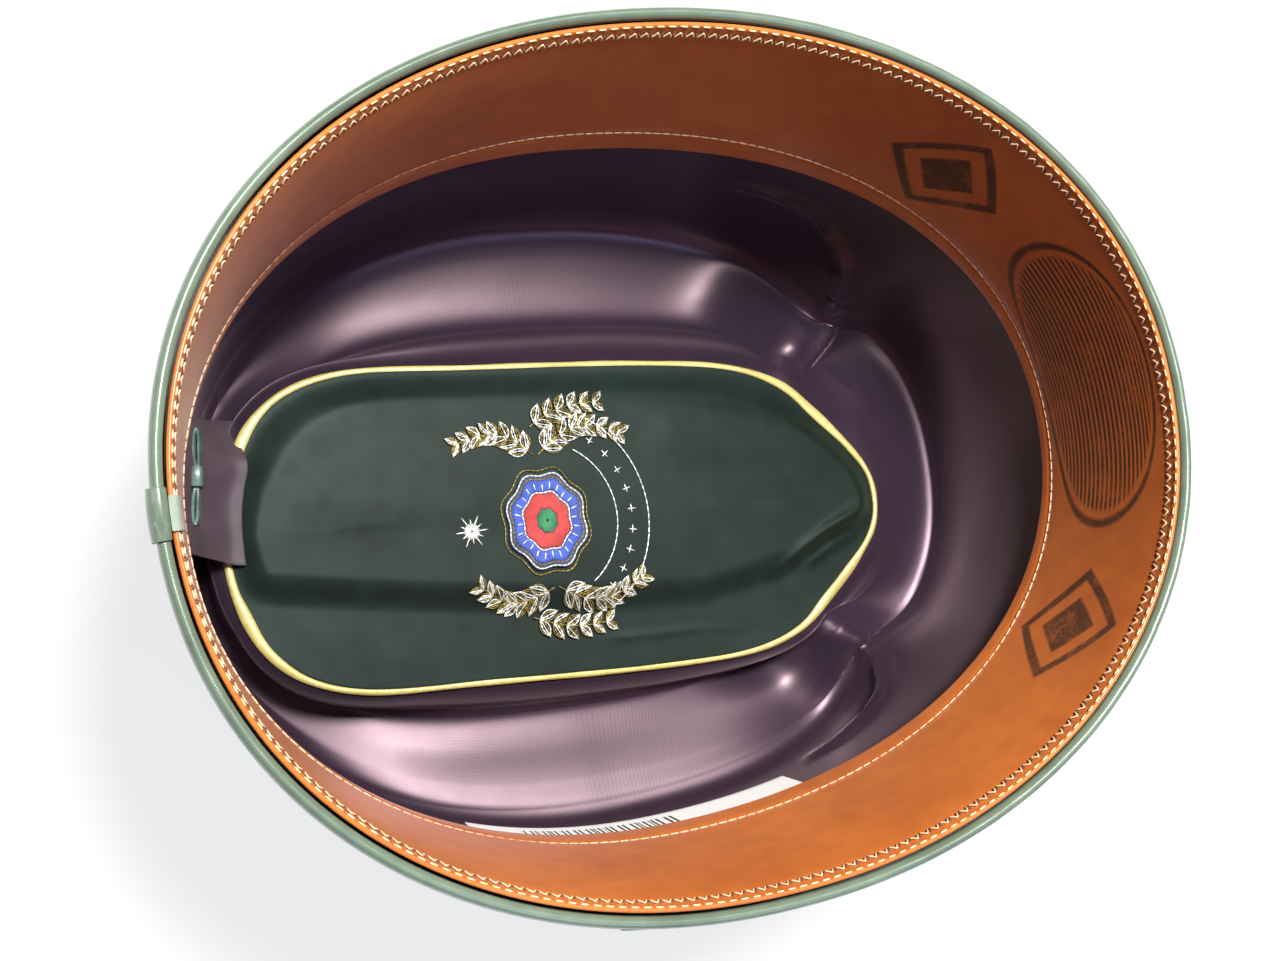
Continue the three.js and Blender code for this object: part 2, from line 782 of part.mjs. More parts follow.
// Ticket

function ticket() {
  const near = bandThickness + layerGap;
  const halfLength = rimHalfLength - bandInset;
  const halfTicket = ticketLength / 2;
  const turns = leftTurns(ticketForward - halfTicket, ticketForward + halfTicket, halfLength);
  const lowDepth = bandDepth + ticketShowing;
  const depths = stepsBetween(lowDepth - ticketHeight, lowDepth, ticketRowSteps);
  return bandSheet(turns, depths, near, near + ticketThickness);
}

// Ribbon and flat bow

// Sheet over the outside of the crown, between depths that may change with the turn
function outerSheet(turns, depthsAt, near, thickness) {
  return openSheet(turns, (turn) => {
    const [top, bottom] = depthsAt(turn);
    const places = [placeAtDepth(turn, top), ribbonMiddleSection, placeAtDepth(turn, bottom)];
    return layerLoop(turn, places, -near - thickness, -near);
  });
}

const ribbonNear = ribbonGap;
const tailNear = ribbonNear + ribbonThickness + ribbonGap;
const bowNear = tailNear + flatBowTailThickness + ribbonGap;
const knotNear = bowNear + flatBowThickness + ribbonGap;
const bowMiddleDepth = ribbonTopDepth + ribbonWidth / 2;

function hatRibbon() {
  return ringSheet((turn) => {
    const from = placeAtDepth(turn, ribbonTopDepth);
    const to = placeAtDepth(turn, ribbonTopDepth + ribbonWidth);
    return layerLoop(turn, [from, ribbonMiddleSection, to], -ribbonNear - ribbonThickness, -ribbonNear);
  });
}

function forwardOf(turn) {
  return rimPoint(turn, 0, 0).x;
}

function flatBowLoops() {
  return outerSheet(leftTurns(-flatBowHalfLength, flatBowHalfLength), (turn) => {
    const share = Math.min(Math.abs(forwardOf(turn)) / flatBowHalfLength, 1);
    const width = THREE.MathUtils.lerp(flatBowWaistWidth, flatBowWidth, Math.sin((share * halfTurn) / 2));
    return [bowMiddleDepth - width / 2, bowMiddleDepth + width / 2];
  }, bowNear, flatBowThickness);
}

function flatBowTail() {
  return outerSheet(leftTurns(-flatBowTailReach, 0), (turn) => {
    const past = Math.max(0, -forwardOf(turn) - flatBowTailReach + flatBowTailNotch);
    return [bowMiddleDepth - flatBowTailWidth / 2 + past, bowMiddleDepth + flatBowTailWidth / 2];
  }, tailNear, flatBowTailThickness);
}

function flatBowKnot() {
  const half = flatBowKnotWidth / 2;
  const reach = flatBowWaistWidth / 2 + layerGap;
  const depths = [bowMiddleDepth - reach, bowMiddleDepth + reach];
  return outerSheet(leftTurns(-half, half), () => depths, knotNear, flatBowKnotThickness);
}

const hat = new THREE.Group();

const finishes = {
  felt: { color: 0x1d2a20, roughness: 0.95 },
  binding: { color: 0x7d8c78, roughness: 0.4 },
  reed: { color: 0xe6e0cf, roughness: 0.5 },
  tape: { color: 0x6f7b68, roughness: 0.7 },
  leather: { color: 0xb0602c, roughness: 0.4 },
  seamTape: { color: 0x2e3d33, roughness: 0.6 },
  tab: { color: 0xbcc7a6, roughness: 0.6 },
  bow: { color: 0x1a2620, roughness: 0.4 },
  sideSatin: { color: 0x6b4a60, roughness: 0.35 },
  tipSatin: { color: 0x24332e, roughness: 0.45 },
  backing: { color: 0xd8d2c4, roughness: 0.9 },
  piping: { color: 0xd8c06a, roughness: 0.4 },
  rosette: { color: 0x9a3b3a, roughness: 0.6 },
  paper: { color: 0xf2f0ea, roughness: 0.6 },
  ribbon: { color: 0x1a2620, roughness: 0.6 },
};

function add(name, geometry, finish) {
  const mesh = new THREE.Mesh(geometry, new THREE.MeshStandardMaterial(finish));
  mesh.name = name;
  hat.add(mesh);
  return mesh;
}

function bowLoops() {
  const outline = new THREE.Shape([...bowEdge(0, -1), ...bowEdge(0, 1).reverse().slice(1, -1)]);
  for (const side of [-1, 1]) {
    const inside = (edge) => edge.filter((point) => point.x * side > bowHoleStart && point.y !== 0);
    const upper = inside(bowEdge(bowRibbonThickness, 1));
    const lower = inside(bowEdge(bowRibbonThickness, -1));
    const tip = new THREE.Vector2(side * (bowHalfLength - 2 * bowRibbonThickness), 0);
    const hole = side > 0 ? [...upper, tip, ...lower.reverse()] : [tip, ...upper, ...lower.reverse()];
    outline.holes.push(new THREE.Path(hole));
  }
  return new THREE.ExtrudeGeometry(outline, { depth: bowRibbonWidth, bevelEnabled: false });
}

function bowKnot() {
  const halfWidth = bowRibbonWidth / 2 + layerGap;
  const halfHeight = bowWaist / 2 + layerGap;
  const wall = bowRibbonThickness;
  const block = (across, high) => [
    new THREE.Vector2(-across, -high),
    new THREE.Vector2(across, -high),
    new THREE.Vector2(across, high),
    new THREE.Vector2(-across, high),
  ];
  const outline = new THREE.Shape(block(halfWidth + wall, halfHeight + wall));
  outline.holes.push(new THREE.Path(block(halfWidth, halfHeight)));
  return new THREE.ExtrudeGeometry(outline, { depth: bowKnotWidth, bevelEnabled: false });
}

add('felt_crown', feltCrown(), finishes.felt);
const weltTurns = turnsFromSeam(weltJoinGap);
const weltOuter = (turn) => weltLoop(turn, 0);
const weltBore = (turn) => weltLoop(turn, weltWall);
add('edge_welt', boredTube(weltTurns, weltOuter, weltBore), finishes.binding);
const reedAt = (turn) => weltLoop(turn, weltWall + layerGap);
add('welt_reed', solidRod(weltTurns, reedAt), finishes.reed);
add('welt_join_wrap', joinWrap(), finishes.binding);
add('reed_tape', reedTape(), finishes.tape);
add('sweatband', sweatband(), finishes.leather);
add('sweatband_seam_tape', seamTape(), finishes.seamTape);
add('sweatband_tab', seamTab(), finishes.tab);

// The bow lies on the sweatband with its loops to both sides and its ribbon's width up the band
const bowDepth = bandDepth - bowEdgeMargin - bowRibbonWidth / 2;
const bowTurn = halfTurn - bowShift / rimHalfLength;
const bowSeat = behindBand(bowTurn, bowDepth, 0);
const bowUp = behindBand(bowTurn, bowDepth - bowRibbonWidth, 0).sub(bowSeat).normalize();
const bowAside = behindBand(bowTurn + stepShare, bowDepth, 0).sub(bowSeat).normalize();
const bowInwards = bowUp.clone().cross(bowAside).normalize();
const bowMatrix = new THREE.Matrix4().makeBasis(bowInwards.clone().cross(bowUp), bowInwards, bowUp)
  .setPosition(bowSeat.addScaledVector(bowInwards, bowStandOff + bowLoopHeight / 2));
const loops = add('sweatband_bow', bowLoops(), finishes.bow);
loops.position.z = -bowRibbonWidth / 2;
loops.applyMatrix4(bowMatrix);
const knot = add('sweatband_bow_knot', bowKnot(), finishes.bow);
knot.rotation.y = halfTurn / 2;
knot.position.x = -bowKnotWidth / 2;
knot.applyMatrix4(bowMatrix);

add('lining_side', liningSide(), finishes.sideSatin);
add('lining_lap', liningLap(), finishes.sideSatin);
add('lining_tip', tipSheet([seamAllowance, backingInset], tipOuter, tipInner), finishes.tipSatin);
const backing = tipSheet([backingInset], backingOuter, backingOuter + backingThickness);
add('tip_backing', backing, finishes.backing);
add('tip_piping', tipPiping(), finishes.piping);

const rosette = add('tip_rosette', tipRosette(), finishes.rosette);
const rosetteSeat = tipPlace(rosetteForward / tipHalfLength, 0, tipDepth - tipCrown - tipInner - rosetteGap);
rosette.position.copy(rosetteSeat);
rosette.rotation.z = tipTwist;

add('ticket', ticket(), finishes.paper);
add('hat_ribbon', hatRibbon(), finishes.ribbon);
add('ribbon_bow_tail', flatBowTail(), finishes.ribbon);
add('ribbon_bow_loops', flatBowLoops(), finishes.ribbon);
add('ribbon_bow_knot', flatBowKnot(), finishes.ribbon);

export default hat;
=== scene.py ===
"""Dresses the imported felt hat: satin, leather, felt, ribbon, stitching, light and camera."""

from __future__ import annotations

import logging
import math
from collections.abc import Callable
from dataclasses import dataclass
from enum import Enum
from functools import cached_property

import bpy
import numpy as np
from mathutils import Euler, Matrix, Vector


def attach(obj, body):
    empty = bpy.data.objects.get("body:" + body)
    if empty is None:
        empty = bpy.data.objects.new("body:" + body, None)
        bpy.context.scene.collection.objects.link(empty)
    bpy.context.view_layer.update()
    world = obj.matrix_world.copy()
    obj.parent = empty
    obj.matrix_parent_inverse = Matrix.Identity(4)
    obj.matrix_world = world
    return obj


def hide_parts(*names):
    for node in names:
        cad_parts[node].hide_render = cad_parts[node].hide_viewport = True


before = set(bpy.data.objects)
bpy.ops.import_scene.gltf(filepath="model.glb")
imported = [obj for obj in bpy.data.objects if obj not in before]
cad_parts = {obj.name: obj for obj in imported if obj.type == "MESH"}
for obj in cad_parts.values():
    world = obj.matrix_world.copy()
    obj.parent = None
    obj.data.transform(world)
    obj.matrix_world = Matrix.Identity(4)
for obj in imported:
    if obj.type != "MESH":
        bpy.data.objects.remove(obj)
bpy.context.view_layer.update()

logging.basicConfig(level=logging.INFO, format="%(message)s")
LOG = logging.getLogger("hat")

MM = 0.001
FULL_TURN = 2 * math.pi
HALF_TURN = math.pi
UP = Vector((0.0, 0.0, 1.0))
WHITE = (1.0, 1.0, 1.0)
# clearance between layers that lie on each other, in metres
LAYER_GAP = 0.0003
# vertices nearer than this are welded, in metres
WELD = 2e-6
# share of a sheet's thickness that the bevel of its rim takes
ROUND_SHARE = 0.32
# where a stitch of length one is cut, its thickness at the ends, and how far out it swells, as shares
STITCH_CUTS = (-0.3, 0.0, 0.3)
STITCH_END = 0.45
STITCH_SWELL = 1.85

Shape = bpy.types.Object
Points = np.ndarray
Socket = bpy.types.NodeSocket
Rgb = tuple[float, float, float]


class Side(Enum):
    """Which way a surface's faces look."""

    INTO_HAT = 1.0
    OUT_OF_HAT = -1.0


def signed_power(value: Points, power: float) -> Points:
    """Returns values raised to a power, each with its own sign."""
    return np.sign(value) * np.abs(value) ** power


def smooth_step(value: Points, low: float, high: float) -> Points:
    """Returns shares that run from 0 at one limit to 1 at the other, with flat ends."""
    share = np.clip((value - low) / (high - low), 0.0, 1.0)
    return share * share * (3.0 - 2.0 * share)


def bell(away: Points, width: float) -> Points:
    """Returns 1 where a distance is nothing, and less and less over a width."""
    return np.exp(-((away / width) ** 2))


def unit(vectors: Points) -> Points:
    """Returns vectors scaled to length one."""
    return vectors / np.maximum(np.linalg.norm(vectors, axis=-1, keepdims=True), 1e-12)


def even_turns(count: int) -> Points:
    """Returns turns spaced evenly right round, the last one left out."""
    return np.linspace(0.0, FULL_TURN, count, endpoint=False)


def turn_from(turn: Points, centre: float) -> Points:
    """Returns how far turns lie from a centre, the short way round."""
    return np.arctan2(np.sin(turn - centre), np.cos(turn - centre))


def turned(x: Points, y: Points, angle: float) -> tuple[Points, Points]:
    """Returns places in plan, turned by an angle."""
    cos, sin = math.cos(angle), math.sin(angle)
    return x * cos - y * sin, x * sin + y * cos


def column(start: float, end: float, count: int) -> Points:
    """Returns numbers spaced evenly down a column."""
    return np.linspace(start, end, count)[:, None]


def sampled(at: Points, row: Points) -> Points:
    """Returns points on the straight lines through a row of points, by their place in the row."""
    return np.stack([np.interp(at, range(len(row)), part) for part in row.T], -1)


def hermite(start: Points, leave: Points, end: Points, arrive: Points, share: Points) -> Points:
    """Finds points of a smooth curve between two points.

    Args:
        start: First point.
        leave: Slope there.
        end: Last point.
        arrive: Slope there.
        share: How far along, from 0 to 1.

    Returns:
        The points.
    """
    s2, s3 = share**2, share**3
    ends = start * (2 * s3 - 3 * s2 + 1) + end * (3 * s2 - 2 * s3)
    return ends + leave * (s3 - 2 * s2 + share) + arrive * (s3 - s2)


@dataclass(frozen=True)
class CrownForm:
    """The felt's outer surface and all that is measured from it, in metres.

    A turn runs round the oval from the front over the wearer's right. A place runs down the wall from 0
    at the rim to 10 at the tip's outline and 11 at the tip's middle line.
    """

    rim_half_length: float = 0.105
    rim_half_width: float = 0.0858
    rim_saddle: float = 0.0023
    rim_roundness: float = 2.1
    depth: float = 0.112
    rest_flat: float = 0.0005
    edge_inset: float = 0.0003
    felt_top: float = 0.0035
    nose_depth: float = 0.095
    nape_depth: float = 0.103
    pinch_depth: float = 0.090
    pinch_spread: float = math.radians(9)
    tip_half_length: float = 0.0785
    tip_half_width: float = 0.034
    tip_depth: float = 0.089
    tip_shift: float = -0.0045
    tip_twist: float = math.radians(-4.5)
    tip_crown: float = 0.0009
    middle_share: float = 0.62
    # how far in from the felt's outer face the side lining and the tip lie
    side_inset: float = 0.0021
    tip_inset: float = 0.0034
    # how far aside, in turn and in place, the points lie that give a direction square to the felt
    square_turn: float = 0.04
    square_place: float = 0.3
    pinches: tuple = ((math.radians(32), math.radians(51)), (math.radians(-35), math.radians(-49)))
    front_reach: tuple = (0.52, 0.95)
    back_reach: tuple = (0.45, 0.95)
    # front, back and side shares, roundness, then depth shares at the front, sides and back
    section_shares: tuple = (
        (0.999, 0.979, 0.988, 2.1, 0.11, 0.09, 0.09),
        (0.999, 0.958, 0.974, 2.1, 0.28, 0.225, 0.245),
        (0.997, 0.925, 0.95, 2.1, 0.55, 0.45, 0.49),
        (0.992, 0.896, 0.92, 2.12, 0.78, 0.67, 0.71),
        (0.984, 0.862, 0.88, 2.15, 0.91, 0.84, 0.87),
        (0.968, 0.83, 0.82, 2.2, 0.98, 0.955, 0.955),
        (0.93, 0.803, 0.735, 2.25, 1.0, 0.995, 1.0),
        (0.875, 0.778, 0.615, 2.35, 0.99, 1.0, 0.985),
        (0.815, 0.758, 0.5, 2.5, 0.968, 0.96, 0.935),
    )
    # pull to the tip, lift, lean and follow of each section at the front pinches
    pinch_shares: tuple = (
        (0.0, 0.0, 0.0, 0.0),
        (0.0, 0.0, 0.0, 0.0),
        (0.028, 0.0, 0.15, 0.05),
        (0.098, 0.0, 0.3, 0.12),
        (0.21, 0.18, 0.44, 0.22),
        (0.301, 0.55, 0.56, 0.3),
        (0.364, 0.9, 0.66, 0.36),
        (0.385, 1.0, 0.76, 0.4),
        (0.315, 1.0, 0.88, 0.5),
    )
    outline_shares: tuple = (
        (1.0, 0.0), (0.985, 0.19), (0.93, 0.375), (0.808, 0.65), (0.705, 0.86), (0.55, 0.955), (0.25, 1.0),
        (-0.3, 1.0), (-0.66, 0.985), (-0.8, 0.9), (-0.9, 0.73), (-0.975, 0.4), (-0.995, 0.2), (-1.0, 0.0),
    )

    @property
    def tip_place(self) -> int:
        """Place of the tip's outline."""
        return len(self.section_shares) + 1

    @property
    def centre_place(self) -> int:
        """Place of the tip's middle line."""
        return self.tip_place + 1

    @staticmethod
    def oval(turn: Points, roundness: float) -> tuple[Points, Points]:
        """Returns the shares forward and to the wearer's right on a rounded oval."""
        return signed_power(np.cos(turn), 2 / roundness), signed_power(np.sin(turn), 2 / roundness)

    def rim(self, turn: Points, inset: Points, depth: Points, saddle: Points | None = None) -> Points:
        """Finds points of the rim's oval, drawn in by an inset, at a depth below the rim.

        Args:
            turn: Turns round the oval.
            inset: Distance inwards from the rim.
            depth: Distance down from the rim.
            saddle: Rise at the front and back, or None for the rim's own.

        Returns:
            Points, one for each turn.
        """
        turn, inset, depth = np.broadcast_arrays(turn, inset, depth)
        along, across = self.oval(turn, self.rim_roundness)
        rise = (self.rim_saddle if saddle is None else saddle) * np.cos(2 * turn)
        x, y = along * (self.rim_half_length - inset), across * (self.rim_half_width - inset)
        return np.stack([x, y, self.depth - depth + rise], -1)

    def left_turn(self, forward: Points, inset: float = 0.0) -> Points:
        """Returns the turns, on the wearer's left, at which a layer inside the rim lies so far forward."""
        return -np.arccos(signed_power(forward / (self.rim_half_length - inset), self.rim_roundness / 2))

    def level(self, turn: Points, depth: Points, fade_depth: Points) -> Points:
        """Returns heights at depths of the wall, where the rim's saddle fades out downwards."""
        fade = np.maximum(0.0, 1 - (fade_depth / self.depth) ** 2)
        return self.depth - depth + self.rim_saddle * np.cos(2 * turn) * fade

    def tip_plan(self, along: Points, across: Points, depth: float) -> Points:
        """Returns points at a depth from shares of the tip's half length and half width."""
        x, y = turned(along * self.tip_half_length, across * self.tip_half_width, self.tip_twist)
        return np.stack([x, y + self.tip_shift, self.depth - depth + np.zeros_like(x)], -1)

    def outline(self, turn: Points) -> Points:
        """Finds shares of the tip's outline, a smooth curve through its corners, by direction.

        Args:
            turn: Directions from the tip's middle.

        Returns:
            Pairs of shares, one for each direction.
        """
        half = list(self.outline_shares)
        corners = np.array(half + [(x, -y) for x, y in half[-2:0:-1]])
        p0, p1, p2, p3 = (np.roll(corners, -k, 0)[:, None] for k in (-1, 0, 1, 2))
        d0, d1, d2 = (
            np.sqrt(np.linalg.norm(b - a, axis=-1, keepdims=True)) for a, b in ((p0, p1), (p1, p2), (p2, p3))
        )
        leave = ((p1 - p0) / d0 - (p2 - p0) / (d0 + d1) + (p2 - p1) / d1) * d1
        arrive = ((p2 - p1) / d1 - (p3 - p1) / (d1 + d2) + (p3 - p2) / d2) * d1
        step = np.linspace(0.0, 1.0, 40, endpoint=False)[:, None]
        curve = hermite(p1, leave, p2, arrive, step).reshape(-1, 2)
        curve = np.vstack([curve, curve[:1]])
        angles = np.unwrap(np.arctan2(curve[:, 1], curve[:, 0]))
        return np.stack([np.interp(np.mod(turn, FULL_TURN), angles, part) for part in curve.T], -1)

    def sections(self, turn: Points) -> Points:
        """Finds the points of all sections of the crown.

        Args:
            turn: Turns round the oval, in one row.

        Returns:
            Points by section and turn.
        """
        tip = self.tip_plan(*self.outline(turn).T, self.tip_depth)
        along = np.cos(turn)
        front, back = smooth_step(along, *self.front_reach), smooth_step(-along, *self.back_reach)
        rows = [self.rim(turn, self.edge_inset, self.felt_top)]
        for share, (pull, lift, lean, follow) in zip(self.section_shares, self.pinch_shares):
            front_share, back_share, side_share, roundness, front_depth, side_depth, back_depth = share
            open_depth = (
                front * front_depth * self.nose_depth
                + (1 - front - back) * side_depth * (self.depth + self.rest_flat)
                + back * back_depth * self.nape_depth
            )
            centres = [wall + (tip_turn - wall) * lean for wall, tip_turn in self.pinches]
            weight = sum(bell(turn_from(turn, centre), self.pinch_spread) for centre in centres)
            depth = open_depth + (np.minimum(open_depth, self.pinch_depth) - open_depth) * lift * weight
            x, y = self.oval(turn, roundness)
            x = x * self.rim_half_length * np.where(x > 0, front_share, back_share)
            x, y = turned(x, y * self.rim_half_width * side_share, self.tip_twist * follow)
            point = np.stack([x, y + self.tip_shift * follow, np.zeros_like(x)], -1)
            point += (tip - point) * (pull * weight)[:, None]
            point[:, 2] = self.level(turn, depth, open_depth)
            rows.append(point)
        even = (along + 1 - 2 * np.abs(turn_from(turn, 0.0)) / HALF_TURN) / 2
        middle = self.tip_plan(self.middle_share * even, np.zeros_like(turn), self.tip_depth - self.tip_crown)
        return np.stack([*rows, tip, middle])

    def surface(self, turn: Points, place: Points) -> Points:
        """Finds points of the felt's outer face on smooth curves through the sections.

        Args:
            turn: Turns, one for each column.
            place: Places, by row and column.

        Returns:
            Points by row and column.
        """
        rows, last = self.sections(turn), self.centre_place
        index = np.clip(np.floor(place), 0, last - 1).astype(int)

        def at(step: int) -> Points:
            """Returns section points so many rows on, held inside the table."""
            return rows[np.clip(index + step, 0, last), np.arange(len(turn))]

        def slope(step: int) -> Points:
            """Returns the curve's slope so many rows on, for each unit of its length."""
            run = sum(np.linalg.norm(at(step + k) - at(step + k - 1), axis=-1) for k in (0, 1))
            return (at(step + 1) - at(step - 1)) / run[..., None]

        start, end, arrive = at(0), at(1), slope(1)
        chord = np.linalg.norm(end - start, axis=-1)[..., None]
        arrive[..., 2] = np.where(index + 1 == last, 0.0, arrive[..., 2])
        return hermite(start, slope(0) * chord, end, arrive * chord, (place - index)[..., None])

    def inward(self, turn: Points, place: Points) -> Points:
        """Finds the directions into the hollow, square to the felt.

        Args:
            turn: Turns, one for each column.
            place: Places, by row and column.

        Returns:
            Unit vectors by row and column.
        """
        high = np.minimum(place + self.square_place, float(self.centre_place))
        low = np.maximum(place - self.square_place, 0.0)
        around = self.surface(turn + self.square_turn, place) - self.surface(turn - self.square_turn, place)
        inward = unit(np.cross(around, self.surface(turn, high) - self.surface(turn, low)))
        inward[place >= self.centre_place - 1e-6] = UP
        return inward

    def layer(self, turn: Points, place: Points, inset: Points) -> Points:
        """Returns points of a layer that lies an inset inside the felt's outer face."""
        inset = np.broadcast_to(inset, place.shape)[..., None]
        return self.surface(turn, place) + self.inward(turn, place) * inset

    def ring(self, turn: Points, place: float, inset: float) -> Points:
        """Returns points of a layer along one place, by one row and by turn."""
        return self.layer(turn, np.full((1, len(turn)), float(place)), inset)

    def place_at(self, turn: Points, depth: Points) -> Points:
        """Finds the places where the wall reaches a depth below the rim.

        Args:
            turn: Turns, one for each column.
            depth: Depths, one number or one for each column.

        Returns:
            One place for each column.
        """
        target = self.level(turn, depth, depth)
        steps = np.linspace(0.0, self.tip_place / 2, 300)
        heights = self.surface(turn, np.repeat(steps[:, None], len(turn), 1))[..., 2]
        return np.array([np.interp(-target[k], -heights[:, k], steps) for k in range(len(turn))])

    @staticmethod
    def rows_between(start: Points, end: Points, count: int) -> Points:
        """Returns places spaced evenly between two rows, by row and column."""
        share = column(0.0, 1.0, count)
        return start * (1 - share) + end * share


FORM = CrownForm()


@dataclass(frozen=True)
class BandForm:
    """The sweatband's visible face, in metres. It stands off the lining of the wall behind it."""

    thickness: float = 0.0009
    top: float = 0.0009
    bottom: float = 0.0487
    inset: float = 0.0036
    stand_front: float = 0.0022
    stand_side: float = 0.007
    stand_back: float = 0.0021
    wall_section: int = 3
    lean_power: float = 0.8
    edge_saddle: float = 0.0041
    seam_shift: float = 0.002

    @property
    def behind(self) -> float:
        """Distance from the visible face to a layer behind the leather."""
        return self.thickness + LAYER_GAP

    @property
    def leans(self) -> tuple[float, float, float]:
        """How far the free edge leans in.

        Returns:
            Distances at the front, sides and back.
        """
        front, back, side = FORM.section_shares[self.wall_section - 1][:3]
        near = FORM.side_inset - self.inset
        length, width = FORM.rim_half_length, FORM.rim_half_width
        return (
            length * (1 - front) + near + self.stand_front,
            width * (1 - side) + near + self.stand_side,
            length * (1 - back) + near + self.stand_back,
        )

    def at(self, turn: Points, depth: Points, outwards: Points = 0.0) -> Points:
        """Finds points beside the visible face.

        Args:
            turn: Turns round the oval.
            depth: Distances down from the rim.
            outwards: Distances behind the visible face.

        Returns:
            Points in the shape of the arguments broadcast together.
        """
        turn, depth, outwards = np.broadcast_arrays(turn, depth, outwards)
        share = (depth - self.top) / (self.bottom - self.top)
        front, back = np.maximum(np.cos(turn), 0) ** 2, np.maximum(-np.cos(turn), 0) ** 2
        lean_front, lean_side, lean_back = self.leans
        lean = lean_front * front + lean_side * (1 - front - back) + lean_back * back
        power = self.lean_power
        lean_share = np.where(share > 1, 1 + (share - 1) * power, signed_power(share, power))
        saddle = FORM.rim_saddle + (self.edge_saddle - FORM.rim_saddle) * share
        return FORM.rim(turn, self.inset + lean * lean_share - outwards, depth, saddle)

    def near_seam(self, reach: float, count: int) -> Points:
        """Returns turns spaced evenly over a reach to both sides of the back seam."""
        seam, half = HALF_TURN - self.seam_shift / FORM.rim_half_length, reach / FORM.rim_half_length
        return np.linspace(seam - half, seam + half, count)

    def round_from_seam(self, gap: float, count: int) -> Points:
        """Returns turns spaced evenly right round, with a gap on both sides of the back seam."""
        start, end = self.near_seam(gap, 2)
        return np.linspace(end, start + FULL_TURN, count)


BAND = BandForm()


